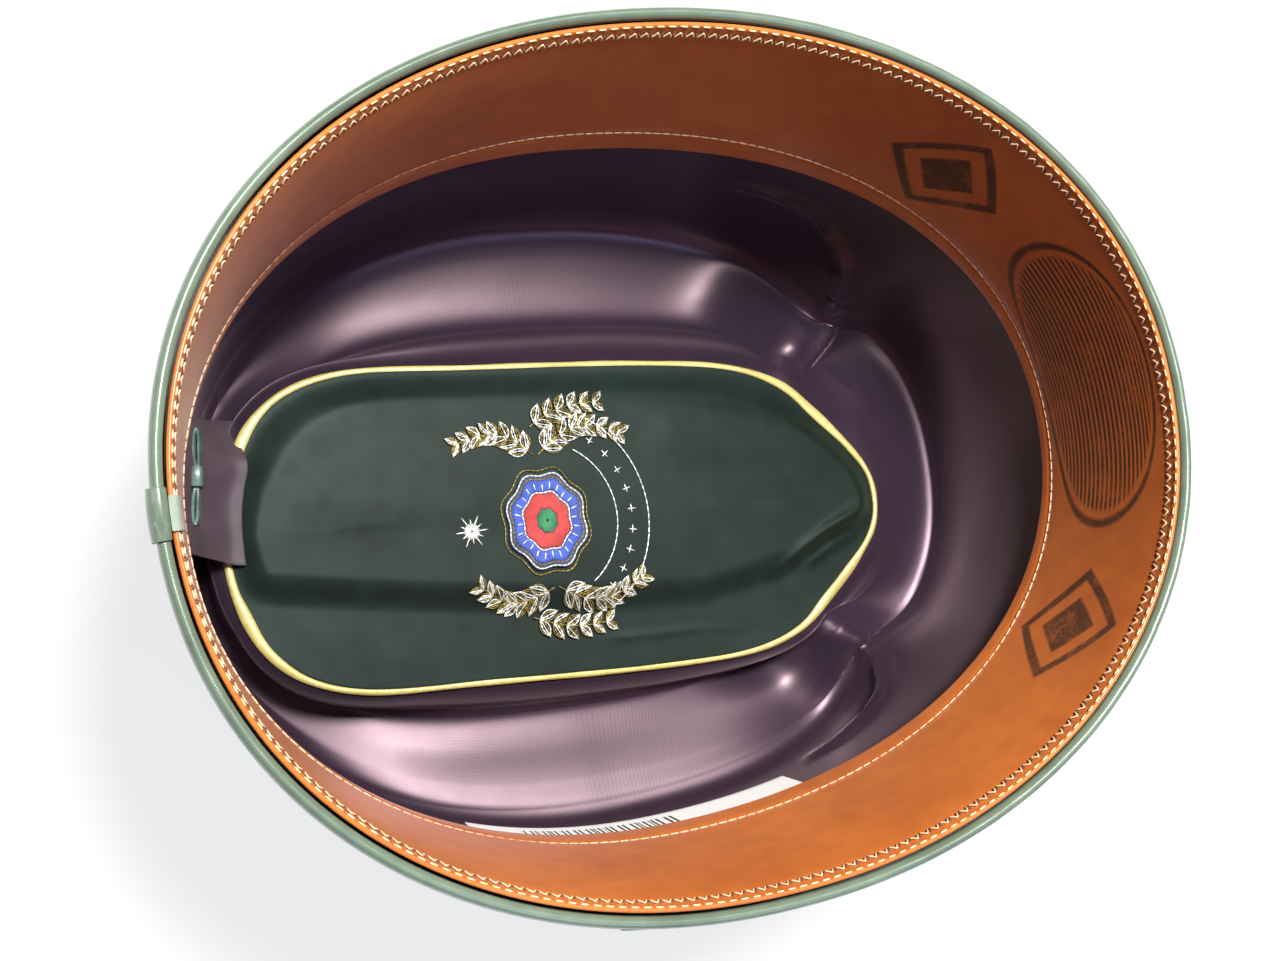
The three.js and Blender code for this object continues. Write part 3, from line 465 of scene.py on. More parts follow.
class Bench:
    """Blender's own tools, each called on one piece."""

    @staticmethod
    def alone(piece: Shape | None = None) -> None:
        """Deselects everything, then selects one piece.

        Args:
            piece: The piece, or None to leave nothing selected.
        """
        bpy.ops.object.select_all(action="DESELECT")
        if piece:
            piece.select_set(True)
            bpy.context.view_layer.objects.active = piece

    @classmethod
    def edited(cls, piece: Shape, tool: Callable, *calls: dict) -> None:
        """Runs one of Blender's mesh tools on all of a piece.

        Args:
            piece: The piece to change.
            tool: The tool.
            *calls: Settings for each time that it runs.
        """
        cls.alone(piece)
        bpy.ops.object.mode_set(mode="EDIT")
        for settings in calls:
            bpy.ops.mesh.select_all(action="SELECT")
            tool(**settings)
        bpy.ops.object.mode_set(mode="OBJECT")

    @classmethod
    def apply(cls, piece: Shape, kind: str, **values: object) -> None:
        """Adds a modifier and applies it.

        Args:
            piece: The piece to change.
            kind: Blender's name for the modifier.
            **values: Settings of the modifier.
        """
        cls.alone(piece)
        bpy.ops.object.modifier_add(type=kind)
        modifier = piece.modifiers[-1]
        for key, value in values.items():
            setattr(modifier, key, value)
        bpy.ops.object.modifier_apply(modifier=modifier.name)

    @classmethod
    def shade(cls, piece: Shape, angle: float | None = None) -> Shape:
        """Shades a piece smooth.

        Args:
            piece: The piece to change.
            angle: Sharper edges than this stay hard, in degrees, or None for none.

        Returns:
            The piece.
        """
        cls.alone(piece)
        if angle is None:
            bpy.ops.object.shade_smooth()
        else:
            bpy.ops.object.shade_smooth_by_angle(angle=math.radians(angle))
        return piece

    @classmethod
    def outward(cls, piece: Shape) -> None:
        """Turns a closed piece's faces to the outside."""
        cls.edited(piece, bpy.ops.mesh.normals_make_consistent, {"inside": False})

    @classmethod
    def surface(cls, name: str, points: Points, ring: bool, side: Side) -> Shape:
        """Lays a grid over points.

        Args:
            name: Name of the new piece.
            points: Points by row and column.
            ring: Whether the last column joins the first.
            side: The way that the faces look.

        Returns:
            The open surface.
        """
        if ring:
            points = np.concatenate([points, points[:, :1]], 1)
        rows, columns = points.shape[:2]
        cls.alone()
        bpy.ops.mesh.primitive_grid_add(x_subdivisions=columns - 1, y_subdivisions=rows - 1, size=1.0)
        piece = bpy.context.object
        piece.name = piece.data.name = name
        mesh = piece.data
        mesh.vertices.foreach_set("co", np.ascontiguousarray(points, dtype=np.float32).ravel())
        mesh.update()
        cls.edited(piece, bpy.ops.mesh.remove_doubles, {"threshold": WELD})
        middle = mesh.polygons[len(mesh.polygons) // 2]
        towards = Vector((0.0, 0.0, FORM.depth)) - Vector(middle.center)
        towards.z = max(towards.z, 0.0) * 0.5
        if middle.normal.dot(towards) * side.value < 0:
            cls.edited(piece, bpy.ops.mesh.flip_normals, {})
        return piece

    @classmethod
    def sheet(
        cls, name: str, points: Points, thickness: float, ring: bool = True, side: Side = Side.INTO_HAT
    ) -> Shape:
        """Makes a closed sheet, with a rounded rim, whose visible face passes through points.

        Args:
            name: Name of the new piece.
            points: Points by row and column.
            thickness: Thickness behind the visible face.
            ring: Whether the last column joins the first.
            side: The way that the visible face looks.

        Returns:
            The sheet.
        """
        piece = cls.surface(name, points, ring, side)
        cls.apply(piece, "SOLIDIFY", thickness=thickness, offset=-1.0, use_even_offset=False)
        cls.apply(
            piece, "BEVEL", width=thickness * ROUND_SHARE, segments=2, limit_method="ANGLE",
            angle_limit=math.radians(60), use_clamp_overlap=True,
        )
        return cls.shade(piece, 50.0)

    @classmethod
    def tube(cls, name: str, points: Points) -> Shape:
        """Makes a closed ring-shaped tube through points.

        Args:
            name: Name of the new piece.
            points: Points by side round the tube and by column round the ring.

        Returns:
            The tube.
        """
        piece = cls.surface(name, np.concatenate([points, points[:1]]), True, Side.OUT_OF_HAT)
        cls.outward(piece)
        return cls.shade(piece)

    @classmethod
    def sew(cls, name: str, radius: float, places: list[Matrix]) -> Shape:
        """Repeats one plump stitch, thin at its ends, in one mesh.

        Args:
            name: Name of the new piece.
            radius: Half thickness of the thread.
            places: Where each stitch goes, as a matrix for one of length one along X.

        Returns:
            The piece of all stitches.
        """
        cls.alone()
        bpy.ops.mesh.primitive_cylinder_add(
            vertices=6, radius=radius, depth=1.0, rotation=(0.0, HALF_TURN / 2, 0.0), end_fill_type="TRIFAN"
        )
        stitch = bpy.context.object
        bpy.ops.object.transform_apply(location=True, rotation=True, scale=True)
        cuts = [{"plane_co": (at, 0.0, 0.0), "plane_no": (1.0, 0.0, 0.0)} for at in STITCH_CUTS]
        cls.edited(stitch, bpy.ops.mesh.bisect, *cuts)
        base = np.array([(*vertex.co, 1.0) for vertex in stitch.data.vertices])
        swell = np.sqrt(np.maximum(0.0, 1 - (STITCH_SWELL * base[:, :1]) ** 2))
        base[:, 1:3] *= STITCH_END + (1 - STITCH_END) * swell
        faces = [tuple(p.vertices) for p in stitch.data.polygons]
        points = np.concatenate([(base @ np.array(m).T)[:, :3] for m in places])
        all_faces = [tuple(v + k * len(base) for v in face) for k in range(len(places)) for face in faces]
        bpy.data.objects.remove(stitch)
        mesh = bpy.data.meshes.new(name)
        mesh.from_pydata(points.tolist(), [], all_faces)
        mesh.update()
        piece = bpy.data.objects.new(name, mesh)
        bpy.context.scene.collection.objects.link(piece)
        return cls.shade(piece)


def span(start: Vector, end: Vector, up: Vector = UP) -> Matrix:
    """Finds the place of a stitch that runs between two points.

    Args:
        start: First end.
        end: Last end.
        up: Direction away from what carries it.

    Returns:
        Matrix for a stitch of length one along X.
    """
    run = end - start
    x = run.normalized()
    z = (up - x * up.dot(x)).normalized()
    matrix = Matrix((run, z.cross(x), z)).transposed().to_4x4()
    matrix.translation = (start + end) / 2
    return matrix


def rgb(code: str) -> Rgb:
    """Turns a six-digit web colour into linear red, green and blue."""
    parts = [int(code[i : i + 2], 16) / 255 for i in (0, 2, 4)]
    return tuple(c / 12.92 if c <= 0.04045 else ((c + 0.055) / 1.055) ** 2.4 for c in parts)


class Nodes:
    """Writes the nodes of one tree."""

    def __init__(self, tree: bpy.types.NodeTree) -> None:
        """Takes the tree."""
        self.tree = tree

    def join(self, value: object, socket: Socket) -> None:
        """Gives an input what it works with.

        Args:
            value: Number, colour or socket to link from.
            socket: The input.
        """
        if isinstance(value, (int, float)):
            socket.default_value = value
        elif isinstance(value, tuple):
            socket.default_value = (*value, 1.0)
        else:
            self.tree.links.new(value, socket)

    def new(self, kind: str, **values: object) -> bpy.types.Node:
        """Adds a node and sets its properties, or its inputs where a key starts with in_.

        Args:
            kind: Blender's name for the node, without ShaderNode.
            **values: Properties, and inputs by number or name after in_.

        Returns:
            The node.
        """
        node = self.tree.nodes.new("ShaderNode" + kind)
        for key, value in values.items():
            if key.startswith("in_"):
                slot = key[3:]
                self.join(value, node.inputs[int(slot) if slot.isdigit() else slot])
            else:
                setattr(node, key, value)
        return node

    def math(self, operation: str, *parts: Socket | float) -> Socket:
        """Returns the result of a math node, from sockets or numbers in order."""
        inputs = {f"in_{index}": part for index, part in enumerate(parts)}
        return self.new("Math", operation=operation, **inputs).outputs[0]

    def times(self, *parts: Socket | float) -> Socket:
        """Returns the product of two sockets or numbers."""
        return self.math("MULTIPLY", *parts)

    def mix(self, share: Socket | float, first: Socket | Rgb, last: Socket | Rgb) -> Socket:
        """Returns a mix of two colours."""
        return self.new("Mix", data_type="RGBA", in_0=share, in_6=first, in_7=last).outputs[2]

    def ramp(self, value: Socket, low: float, high: float, first: float = 0.0, last: float = 1.0) -> Socket:
        """Returns a value mapped from between two limits to between two results, and held there."""
        return self.new("MapRange", in_0=value, in_1=low, in_2=high, in_3=first, in_4=last).outputs[0]

    def axes(self, vector: Socket) -> tuple[Socket, Socket]:
        """Returns the first two parts of a vector."""
        split = self.new("SeparateXYZ", in_0=vector)
        return split.outputs["X"], split.outputs["Y"]


class Effects:
    """Shader node groups that several finishes share, each built once."""

    @staticmethod
    def _group(name: str, output: str, **inputs: float) -> tuple[Nodes, dict[str, Socket], Socket]:
        """Starts a node group that puts out one number.

        Args:
            name: Name of the group.
            output: Name of its output.
            **inputs: Names and values of its number inputs.

        Returns:
            The writer of its nodes, its inputs inside the group by name, and its output inside.
        """
        group = bpy.data.node_groups.new(name, "ShaderNodeTree")
        group.interface.new_socket("Vector", in_out="INPUT", socket_type="NodeSocketVector")
        for key, value in inputs.items():
            socket = group.interface.new_socket(key, in_out="INPUT", socket_type="NodeSocketFloat")
            socket.default_value = value
        group.interface.new_socket(output, in_out="OUTPUT", socket_type="NodeSocketFloat")
        start, end = group.nodes.new("NodeGroupInput"), group.nodes.new("NodeGroupOutput")
        return Nodes(group), start.outputs, end.inputs[output]

    @classmethod
    def mottle(cls) -> bpy.types.NodeTree:
        """Makes a soft blotchy mask from two sizes of noise.

        Returns:
            The group.
        """
        if "soft mottle" not in bpy.data.node_groups:
            nodes, start, end = cls._group("soft mottle", "Mask", Scale=30.0, Fine=8.0)
            vector, scale = start["Vector"], start["Scale"]
            large = nodes.new("TexNoise", in_Vector=vector, in_Scale=scale, in_Detail=3.0)
            fine = nodes.times(scale, start["Fine"])
            small = nodes.new("TexNoise", in_Vector=vector, in_Scale=fine, in_Detail=2.0)
            mix = nodes.new("Mix", in_0=0.35, in_2=large.outputs["Fac"], in_3=small.outputs["Fac"])
            nodes.join(mix.outputs[0], end)
        return bpy.data.node_groups["soft mottle"]

    @classmethod
    def weave(cls) -> bpy.types.NodeTree:
        """Makes the height of crossed threads: a plain weave or, with one count low, ribs.

        Returns:
            The group.
        """
        if "thread weave" not in bpy.data.node_groups:
            nodes, start, end = cls._group("thread weave", "Height", Across=400.0, Along=400.0, Mix=0.5)
            x, y = nodes.axes(start["Vector"])
            across, along = (
                nodes.math("SINE", nodes.times(axis, start[key]))
                for axis, key in ((x, "Across"), (y, "Along"))
            )
            mix = nodes.new("Mix", in_0=start["Mix"], in_2=across, in_3=along).outputs[0]
            nodes.join(nodes.math("MULTIPLY_ADD", mix, 0.5, 0.5), end)
        return bpy.data.node_groups["thread weave"]


class Maker(Nodes):
    """Writes the nodes of one material."""

    def __init__(self, name: str) -> None:
        """Starts an empty material with a Principled BSDF.

        Args:
            name: Name of the material.
        """
        self.material = bpy.data.materials.new(name)
        self.material.use_nodes = True
        super().__init__(self.material.node_tree)
        self.shader = self.tree.nodes["Principled BSDF"]

    @cached_property
    def place(self) -> bpy.types.NodeOutputs:
        """Sockets of the texture coordinates, added on first use."""
        return self.new("TexCoord").outputs

    def mottle(self, scale: float) -> Socket:
        """Returns the blotchy mask of a scale, laid out over the object."""
        place = self.place["Object"]
        return self.new("Group", node_tree=Effects.mottle(), in_Vector=place, in_Scale=scale).outputs[0]

    def relief(self, height: Socket, depth: float, strength: float = 1.0) -> None:
        """Bumps the surface by a height from 0 to 1, where 1 measures a depth in metres."""
        bump = self.new("Bump", in_Height=height, in_Distance=depth, in_Strength=strength)
        self.set(Normal=bump.outputs[0])

    def set(self, **values: Socket | float | Rgb) -> None:
        """Sets inputs of the shader; an underline in a name stands for a space."""
        for key, value in values.items():
            self.join(value, self.shader.inputs[key.replace("_", " ")])


@dataclass(frozen=True)
class Finish:
    """A finish with two close colours and a fine relief.

    Attributes:
        name: Name of the material.
        light: Lighter colour.
        dark: Darker colour.
        roughness: Roughness of the surface.
        metallic: Metallic share.
        sheen: Weight of the sheen of fibres.
        coat: Weight of a clear coat.
        gloss: Level of the plain reflection, 0.5 for most things.
        tint: Colour of the plain reflection.
        blotch: Size of the colour's blotches, in cycles for each metre.
        across: Threads across, in radians for each unit of UV.
        along: Threads along, in radians for each unit of UV.
        relief: Depth of the threads in metres.
        sheen_roughness: Roughness of the sheen.
        coat_roughness: Roughness of the clear coat.
        rough_spread: Share by which the roughness varies each way.
        rough_edges: Values of the blotches between which the roughness changes.
        colour_edges: Values of the blotches between which the colour changes.
        grain: Fine grain in cycles for each blotch, where there are no threads.
    """

    name: str
    light: str
    dark: str
    roughness: float = 0.5
    metallic: float = 0.0
    sheen: float = 0.0
    coat: float = 0.0
    gloss: float = 0.5
    tint: str = "ffffff"
    blotch: float = 40.0
    across: float = 0.0
    along: float = 0.0
    relief: float = 0.0
    sheen_roughness: float = 0.4
    coat_roughness: float = 0.15
    rough_spread: float = 0.08
    rough_edges: tuple[float, float] = (0.3, 0.7)
    colour_edges: tuple[float, float] = (0.35, 0.65)
    grain: float = 60.0

    def start(self) -> tuple[Maker, Socket]:
        """Writes the nodes that all finishes share.

        Returns:
            The maker and the colour socket.
        """
        maker, tint = Maker(self.name), rgb(self.tint)
        mottle = maker.mottle(self.blotch)
        most, least = (self.roughness * (1 + way * self.rough_spread) for way in (1, -1))
        rough = maker.ramp(mottle, *self.rough_edges, most, least)
        maker.set(
            Metallic=self.metallic, Roughness=rough, Specular_IOR_Level=self.gloss, Specular_Tint=tint,
            Sheen_Weight=self.sheen, Sheen_Roughness=self.sheen_roughness, Sheen_Tint=tint,
            Coat_Weight=self.coat, Coat_Roughness=self.coat_roughness,
        )
        if self.across or self.along:
            threads = maker.new(
                "Group", node_tree=Effects.weave(), in_Vector=maker.place["UV"], in_Across=self.across,
                in_Along=self.along,
            )
            maker.relief(threads.outputs[0], self.relief)
        elif self.relief:
            place, scale = maker.place["Object"], self.blotch * self.grain
            fine = maker.new("TexNoise", in_Vector=place, in_Scale=scale, in_Detail=4.0)
            maker.relief(fine.outputs["Fac"], self.relief)
        return maker, maker.mix(maker.ramp(mottle, *self.colour_edges), rgb(self.dark), rgb(self.light))

    def colour(self, maker: Maker, plain: Socket) -> Socket:
        """Returns the colour with its marks; a plain finish has none."""
        return plain

    def dress(self, piece: Shape, slot: str | None = None, body: str = "hat") -> Shape:
        """Gives a piece this finish, made on first use, and joins it to a body unless it is a CAD node.

        Args:
            piece: The piece.
            slot: Name of the piece's material slot, or None for a CAD node; only whether it is given is read,
                to join the piece to a body.
            body: Body that the piece rides on.

        Returns:
            The piece.
        """
        if self.name not in bpy.data.materials:
            maker, plain = self.start()
            maker.set(Base_Color=self.colour(maker, plain))
        piece.data.materials.clear()
        piece.data.materials.append(bpy.data.materials[self.name])
        if slot:
            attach(piece, body)
        return piece


FELT = Finish("green fur felt", "24352a", "18241c", 0.95, sheen=0.35, blotch=55.0, relief=0.00012)
WELT = Finish("glossy green binding", "6f7f6b", "5b6a58", 0.3, coat=0.45, blotch=30.0, across=9000.0,
              relief=0.00003)
RIBBON = Finish("green grosgrain", "1b2e22", "132218", 0.6, sheen=0.04, gloss=0.25, across=2600.0,
                relief=0.00012)
BOW_RIBBON = Finish("small bow ribbon", "566f66", "2f403a", 0.4, coat=0.2, blotch=200.0, relief=0.00001)
REED = Finish("cream reed", "e8e2d0", "dcd4bf", 0.45, relief=0.00002)
TAPE = Finish("green woven tape", "77836f", "5e6a58", 0.7, across=2400.0, along=60.0, relief=0.0001)
SIDE_SATIN = Finish("plum satin", "2a1e2b", "221824", 0.37, sheen=0.3, gloss=0.68, tint="ffdbe4", blotch=18.0,
                    across=5200.0, along=1500.0, relief=0.000004)
LAP_SATIN = Finish("plum satin, wrong side", "43353c", "34282f", 0.55, sheen=0.1, blotch=30.0, relief=0.00001)
TIP_SATIN = Finish("bottle green satin", "1b2722", "141b18", 0.48, sheen=0.03, gloss=0.16, tint="e6f4ea",
                   blotch=22.0, across=5200.0, along=1500.0, relief=0.00001)
PIPING = Finish("gold satin cord", "dccb82", "bda95f", 0.35, metallic=0.3, blotch=90.0, across=4200.0,
                relief=0.00003)
BACKING = Finish("woven backing", "d8d2c4", "c8c0b0", 0.9, across=900.0, along=300.0, relief=0.00008)
LINEN_THREAD = Finish("cream thread", "f0d9b0", "d9b887", 0.55, sheen=0.2, blotch=300.0, relief=0.00002)
HEM_THREAD = Finish("pale hem thread", "e3bfa0", "c99f7c", 0.5, sheen=0.2, blotch=120.0, relief=0.00002)
# the needle holes are real, but the dark brown of the pieces sunk in them is painted shade
NEEDLE_HOLE_SHADE = Finish("needle hole painted shade", "8a5230", "6b3e22", 0.8, blotch=300.0, relief=0.00002)
GOLD_THREAD = Finish("gold thread", "978646", "5f5228", 0.4, metallic=0.6, blotch=300.0, relief=0.00002)
SILVER_THREAD = Finish("silver thread", "dfe2dc", "a5aaa4", 0.35, metallic=0.5, blotch=300.0, relief=0.00002)
PALE_TAB = Finish("pale green woven tab", "b9c4ae", "9eab94", 0.6, sheen=0.2, across=500.0, along=160.0,
                  relief=0.00008)
PATCH_GROUND = Finish("patch ground", "2f3a5e", "232c48", 0.6, sheen=0.3, blotch=400.0, relief=0.00006)
RED_PATCH = Finish("red embroidery", "c8403a", "a33230", 0.55, sheen=0.3, blotch=400.0, relief=0.00006)
BLUE_PATCH = Finish("blue embroidery", "4565c8", "30489c", 0.5, sheen=0.3, blotch=400.0, relief=0.00006)
GREEN_PATCH = Finish("green embroidery", "2f8a55", "256a42", 0.55, sheen=0.3, blotch=400.0, relief=0.00006)


@dataclass(frozen=True)
class LeatherFinish(Finish):
    """Polished leather with a fine grain and plain tooled marks at the front, placed in UV."""

    mark: str = "2b1a12"
    mark_strength: float = 0.86
    hatch_centre: tuple[float, float] = (0.515, 0.5)
    hatch_half: tuple[float, float] = (0.06, 0.34)
    lozenge_half: tuple[float, float] = (0.026, 0.27)
    lozenge_offset: float = 0.105
    # the hatching's lines, in radians for each unit of UV, and values of their wave between which they fade
    hatch_lines: float = 260.0
    hatch_edges: tuple[float, float] = (-0.45, 0.05)
    # size of the worn spots, and values of their blotches with the shares of the marks that are left there
    wear: float = 140.0
    wear_edges: tuple[float, ...] = (0.3, 0.5, 0.45, 1.0)
    # the leather's cells for each metre, their height as a share of the marks' depth, that depth in metres,
    # and the strength of the relief
    cells: float = 1500.0
    cell_share: float = 0.35
    mark_depth: float = 0.00006
    mark_relief: float = 0.6

    def colour(self, maker: Maker, plain: Socket) -> Socket:
        """Draws the worn marks, presses them in and adds the grain.

        Args:
            maker: Maker of the material.
            plain: The colour without marks.

        Returns:
            The colour socket.
        """
        marks = maker.times(self.marks(maker), maker.ramp(maker.mottle(self.wear), *self.wear_edges))
        cells = maker.new("TexVoronoi", in_Vector=maker.place["Object"], in_Scale=self.cells)
        height = maker.math("SUBTRACT", maker.times(cells.outputs["Distance"], self.cell_share), marks)
        maker.relief(height, self.mark_depth, self.mark_relief)
        return maker.mix(maker.times(marks, self.mark_strength), plain, rgb(self.mark))

    def marks(self, maker: Maker) -> Socket:
        """Draws a hatched oval with a lozenge on each side of it.

        Args:
            maker: Maker of the material.

        Returns:
            Mask of the marks.
        """
        u, v = maker.axes(maker.place["UV"])

        def scaled(value: Socket, centre: float, half: float) -> Socket:
            """Returns the distance from a centre, as a share of a half size."""
            return maker.math("DIVIDE", maker.math("SUBTRACT", value, centre), half)

        def inside(value: Socket, edge: float, soft: float) -> Socket:
            """Returns 1 where a value is below an edge."""
            return maker.ramp(value, edge - soft, edge + soft, 1.0, 0.0)

        def ring(value: Socket, outer: float, inner: float, soft: float) -> Socket:
            """Returns 1 between two edges."""
            beyond = maker.math("SUBTRACT", 1.0, inside(value, inner, soft))
            return maker.times(inside(value, outer, soft), beyond)

        (u0, v0), (u_half, v_half), (du, dv) = self.hatch_centre, self.hatch_half, self.lozenge_half
        x, y = scaled(u, u0, u_half), scaled(v, v0, v_half)
        oval = maker.math("SQRT", maker.math("ADD", maker.times(x, x), maker.times(y, y)))
        lines = maker.ramp(maker.math("SINE", maker.times(v, self.hatch_lines)), *self.hatch_edges)
        hatch = maker.times(inside(oval, 0.9, 0.02), lines)
        total = maker.math("MAXIMUM", hatch, ring(oval, 1.02, 0.96, 0.015))
        for offset in (-self.lozenge_offset, self.lozenge_offset):
            parts = scaled(u, u0 + offset, du), scaled(v, v0, dv)
            away = maker.math("ADD", *(maker.math("ABSOLUTE", part) for part in parts))
            lozenge = maker.math("MAXIMUM", ring(away, 1.0, 0.8, 0.03), inside(away, 0.5, 0.03))
            total = maker.math("MAXIMUM", total, lozenge)
        return total


LEATHER = LeatherFinish("tan leather", "d4742c", "bd6224", 0.36, coat=0.22, sheen=0.06, blotch=24.0)


@dataclass(frozen=True)
class PaperFinish(Finish):
    """White card with plain printed bars."""

    ink: str = "2c2a2c"
    # two waves along the card, in radians for each unit of UV, and values of their sum where a bar begins
    bars: tuple[float, float] = (330.0, 517.0)
    bar_edges: tuple[float, float] = (0.15, 0.3)
    # the window along and across the card, in UV, and how soft its edges are
    window: tuple = ((0.16, 0.62), (0.7, 0.9))
    soft: float = 0.005

    def colour(self, maker: Maker, plain: Socket) -> Socket:
        """Prints plain bars in a window of the card.

        Args:
            maker: Maker of the material.
            plain: The colour without bars.

        Returns:
            The colour socket.
        """
        u, v = maker.axes(maker.place["UV"])
        waves = (maker.math("SINE", maker.times(u, pitch)) for pitch in self.bars)
        bars = maker.ramp(maker.math("ADD", *waves), *self.bar_edges)
        window = maker.times(*(
            maker.times(
                maker.ramp(axis, low, low + self.soft), maker.ramp(axis, high, high + self.soft, 1.0, 0.0)
            )
            for axis, (low, high) in zip((u, v), self.window)
        ))
        return maker.mix(maker.times(bars, window), plain, rgb(self.ink))


PAPER = PaperFinish("white card", "fbfaf7", "f4f2ee", 0.6)


@dataclass
class Crown:
    """The felt shell with its ribbon and flat bow."""

    thickness: float = 0.0014
    columns: int = 300
    rows: int = 150
    ribbon_top: float = 0.010
    ribbon_width: float = 0.036
    ribbon_length: float = 0.6
    ribbon_gap: float = 0.0004
    ribbon_thickness: float = 0.0004
    # width and length of each cut of the flat bow, in metres, and the area of the notched and waisted ones
    tail_cut: tuple = (0.024, 0.051)
    tail_area: float = 0.00117
    loops_cut: tuple = (0.031, 0.063)
    loops_area: float = 0.00185
    knot_cut: tuple = (0.0134, 0.0266)
    bow_half: float = 0.031
    bow_width: float = 0.031
    waist_width: float = 0.026
    bow_thickness: float = 0.0008
    tail_reach: float = 0.050
    tail_notch: float = 0.007
    tail_width: float = 0.024
    tail_thickness: float = 0.0004
    knot_width: float = 0.013
    knot_thickness: float = 0.0005

    def felt(self) -> Shape:
        """Builds the felt shell, pressed slightly flat where it rests.

        Returns:
            The shell.
        """
        place = np.repeat(column(0.0, FORM.centre_place, self.rows), self.columns, 1)
        points = FORM.surface(even_turns(self.columns), place)
        piece = Bench.sheet("felt_shell", points, self.thickness, side=Side.OUT_OF_HAT)
        for vertex in piece.data.vertices:
            vertex.co.z = max(vertex.co.z, 0.0)
        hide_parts("felt_crown")
        return FELT.dress(piece, "felt")

    @staticmethod
    def outside(name: str, turn: Points, middle: Points, half: Points, outer: float, thickness: float,
                ring: bool = False) -> Shape:
        """Builds a sheet of ribbon over the outside of the crown.

        Args:
            name: Name of the piece.
            turn: Turns of its columns.
            middle: Depth of its middle.
            half: Half its width.
            outer: Distance of its visible face from the felt.
            thickness: Thickness of the sheet.
            ring: Whether it runs right round.

        Returns:
            The sheet.
        """
        top, bottom = (FORM.place_at(turn, middle + way * half) for way in (-1, 1))
        points = FORM.layer(turn, FORM.rows_between(top, bottom, 16), -outer)
        return RIBBON.dress(Bench.sheet(name, points, thickness, ring=ring, side=Side.OUT_OF_HAT), "ribbon")

    def ribbon(self) -> list[Shape]:
        """Builds the ribbon round the crown and its flat bow at the wearer's left.

        Returns:
            The ribbon, then the tail, loops and knot of the bow.
        """
        gap, middle = self.ribbon_gap, self.ribbon_top + self.ribbon_width / 2
        outer = gap + self.ribbon_thickness
        band = self.outside("hat_ribbon_cloth", even_turns(240), middle, self.ribbon_width / 2, outer,
                            self.ribbon_thickness, ring=True)
        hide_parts("hat_ribbon")
        forward = np.linspace(-self.tail_reach, 0.0, 40)
        notch = np.maximum(0.0, -forward - self.tail_reach + self.tail_notch) / 2
        outer += gap + self.tail_thickness
        turn, half = FORM.left_turn(forward), self.tail_width / 2 - notch
        tail = self.outside("flat_bow_tail", turn, middle + notch, half, outer, self.tail_thickness)
        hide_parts("ribbon_bow_tail")
        forward = np.linspace(-self.bow_half, self.bow_half, 61)
        swell = np.sin(np.abs(forward) / self.bow_half * HALF_TURN / 2)
        width = self.waist_width + (self.bow_width - self.waist_width) * swell
        outer += gap + self.bow_thickness
        turn = FORM.left_turn(forward)
        bow = self.outside("flat_bow_loops", turn, middle, width / 2, outer, self.bow_thickness)
        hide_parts("ribbon_bow_loops")
        forward = np.linspace(-self.knot_width / 2, self.knot_width / 2, 20)
        outer += gap + self.knot_thickness
        turn, half = FORM.left_turn(forward), self.waist_width / 2 + LAYER_GAP
        knot = self.outside("flat_bow_knot", turn, middle, half, outer, self.knot_thickness)
        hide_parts("ribbon_bow_knot")
        return [band, tail, bow, knot]

    def build(self) -> list[Shape]:
        """Builds all pieces of the outside."""
        return [self.felt(), *self.ribbon()]


@dataclass
class Welt:
    """The bound edge, the reed in it, the wrap over its join and the tape below it."""

    width: float = 0.0024
    height: float = 0.0032
    columns: int = 480
    sides: int = 18
    wrap_length: float = 0.0095
    wrap_thickness: float = 0.0004
    wrap_puff: float = 0.00012
    # heights of the binding's two ripples
    ripples: tuple = (0.00004, 0.00003)
    tape_width: float = 0.005
    tape_thickness: float = 0.0004
    seam_gap: float = 0.0004

    def point(self, turn: Points, angle: Points, inset: Points) -> Points:
        """Finds points of the welt's oval section.

        Args:
            turn: Turns round the rim.
            angle: Angles round the section; 0 faces outwards and a quarter turn faces up.
            inset: Distance inside the welt's surface.

        Returns:
            Points.
        """
        outwards = np.cos(angle) * (self.width / 2 - inset)
        upwards = np.sin(angle) * (self.height / 2 - inset)
        return FORM.rim(turn, self.width / 2 - outwards, self.height / 2 - upwards)

    def build(self) -> list[Shape]:
        """Builds all pieces of the edge, with the slight unevenness of sewn ribbon.

        Returns:
            The binding, the wrap and the tape.
        """
        REED.dress(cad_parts["welt_reed"])
        turn, angle = even_turns(self.columns), even_turns(self.sides)[:, None]
        broad, fine = self.ripples
        ripple = broad * np.sin(turn * 37 + 2 * np.sin(turn * 5)) + fine * np.sin(turn * 71 + 1.3)
        binding = Bench.tube("welt_binding", self.point(turn, angle, -ripple * np.sin(angle) ** 2))
        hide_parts("edge_welt")
        puff = self.wrap_puff * (1 - np.linspace(-1, 1, 24) ** 2)
        points = self.point(
            BAND.near_seam(self.wrap_length / 2, 24), np.radians(column(-45, 135, 20)),
            -(LAYER_GAP + self.wrap_thickness) - puff,
        )
        wrap = Bench.sheet("welt_wrap", points, self.wrap_thickness, ring=False, side=Side.OUT_OF_HAT)
        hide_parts("welt_join_wrap")
        depth = column(FORM.felt_top, FORM.felt_top + self.tape_width, 6)
        points = BAND.at(BAND.round_from_seam(self.seam_gap, 240), depth, BAND.behind)
        tape = Bench.sheet("welt_tape", points, self.tape_thickness, ring=False)
        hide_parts("reed_tape")
        return [WELT.dress(binding, "welt_ribbon"), WELT.dress(wrap, "welt_ribbon"), TAPE.dress(tape, "tape")]


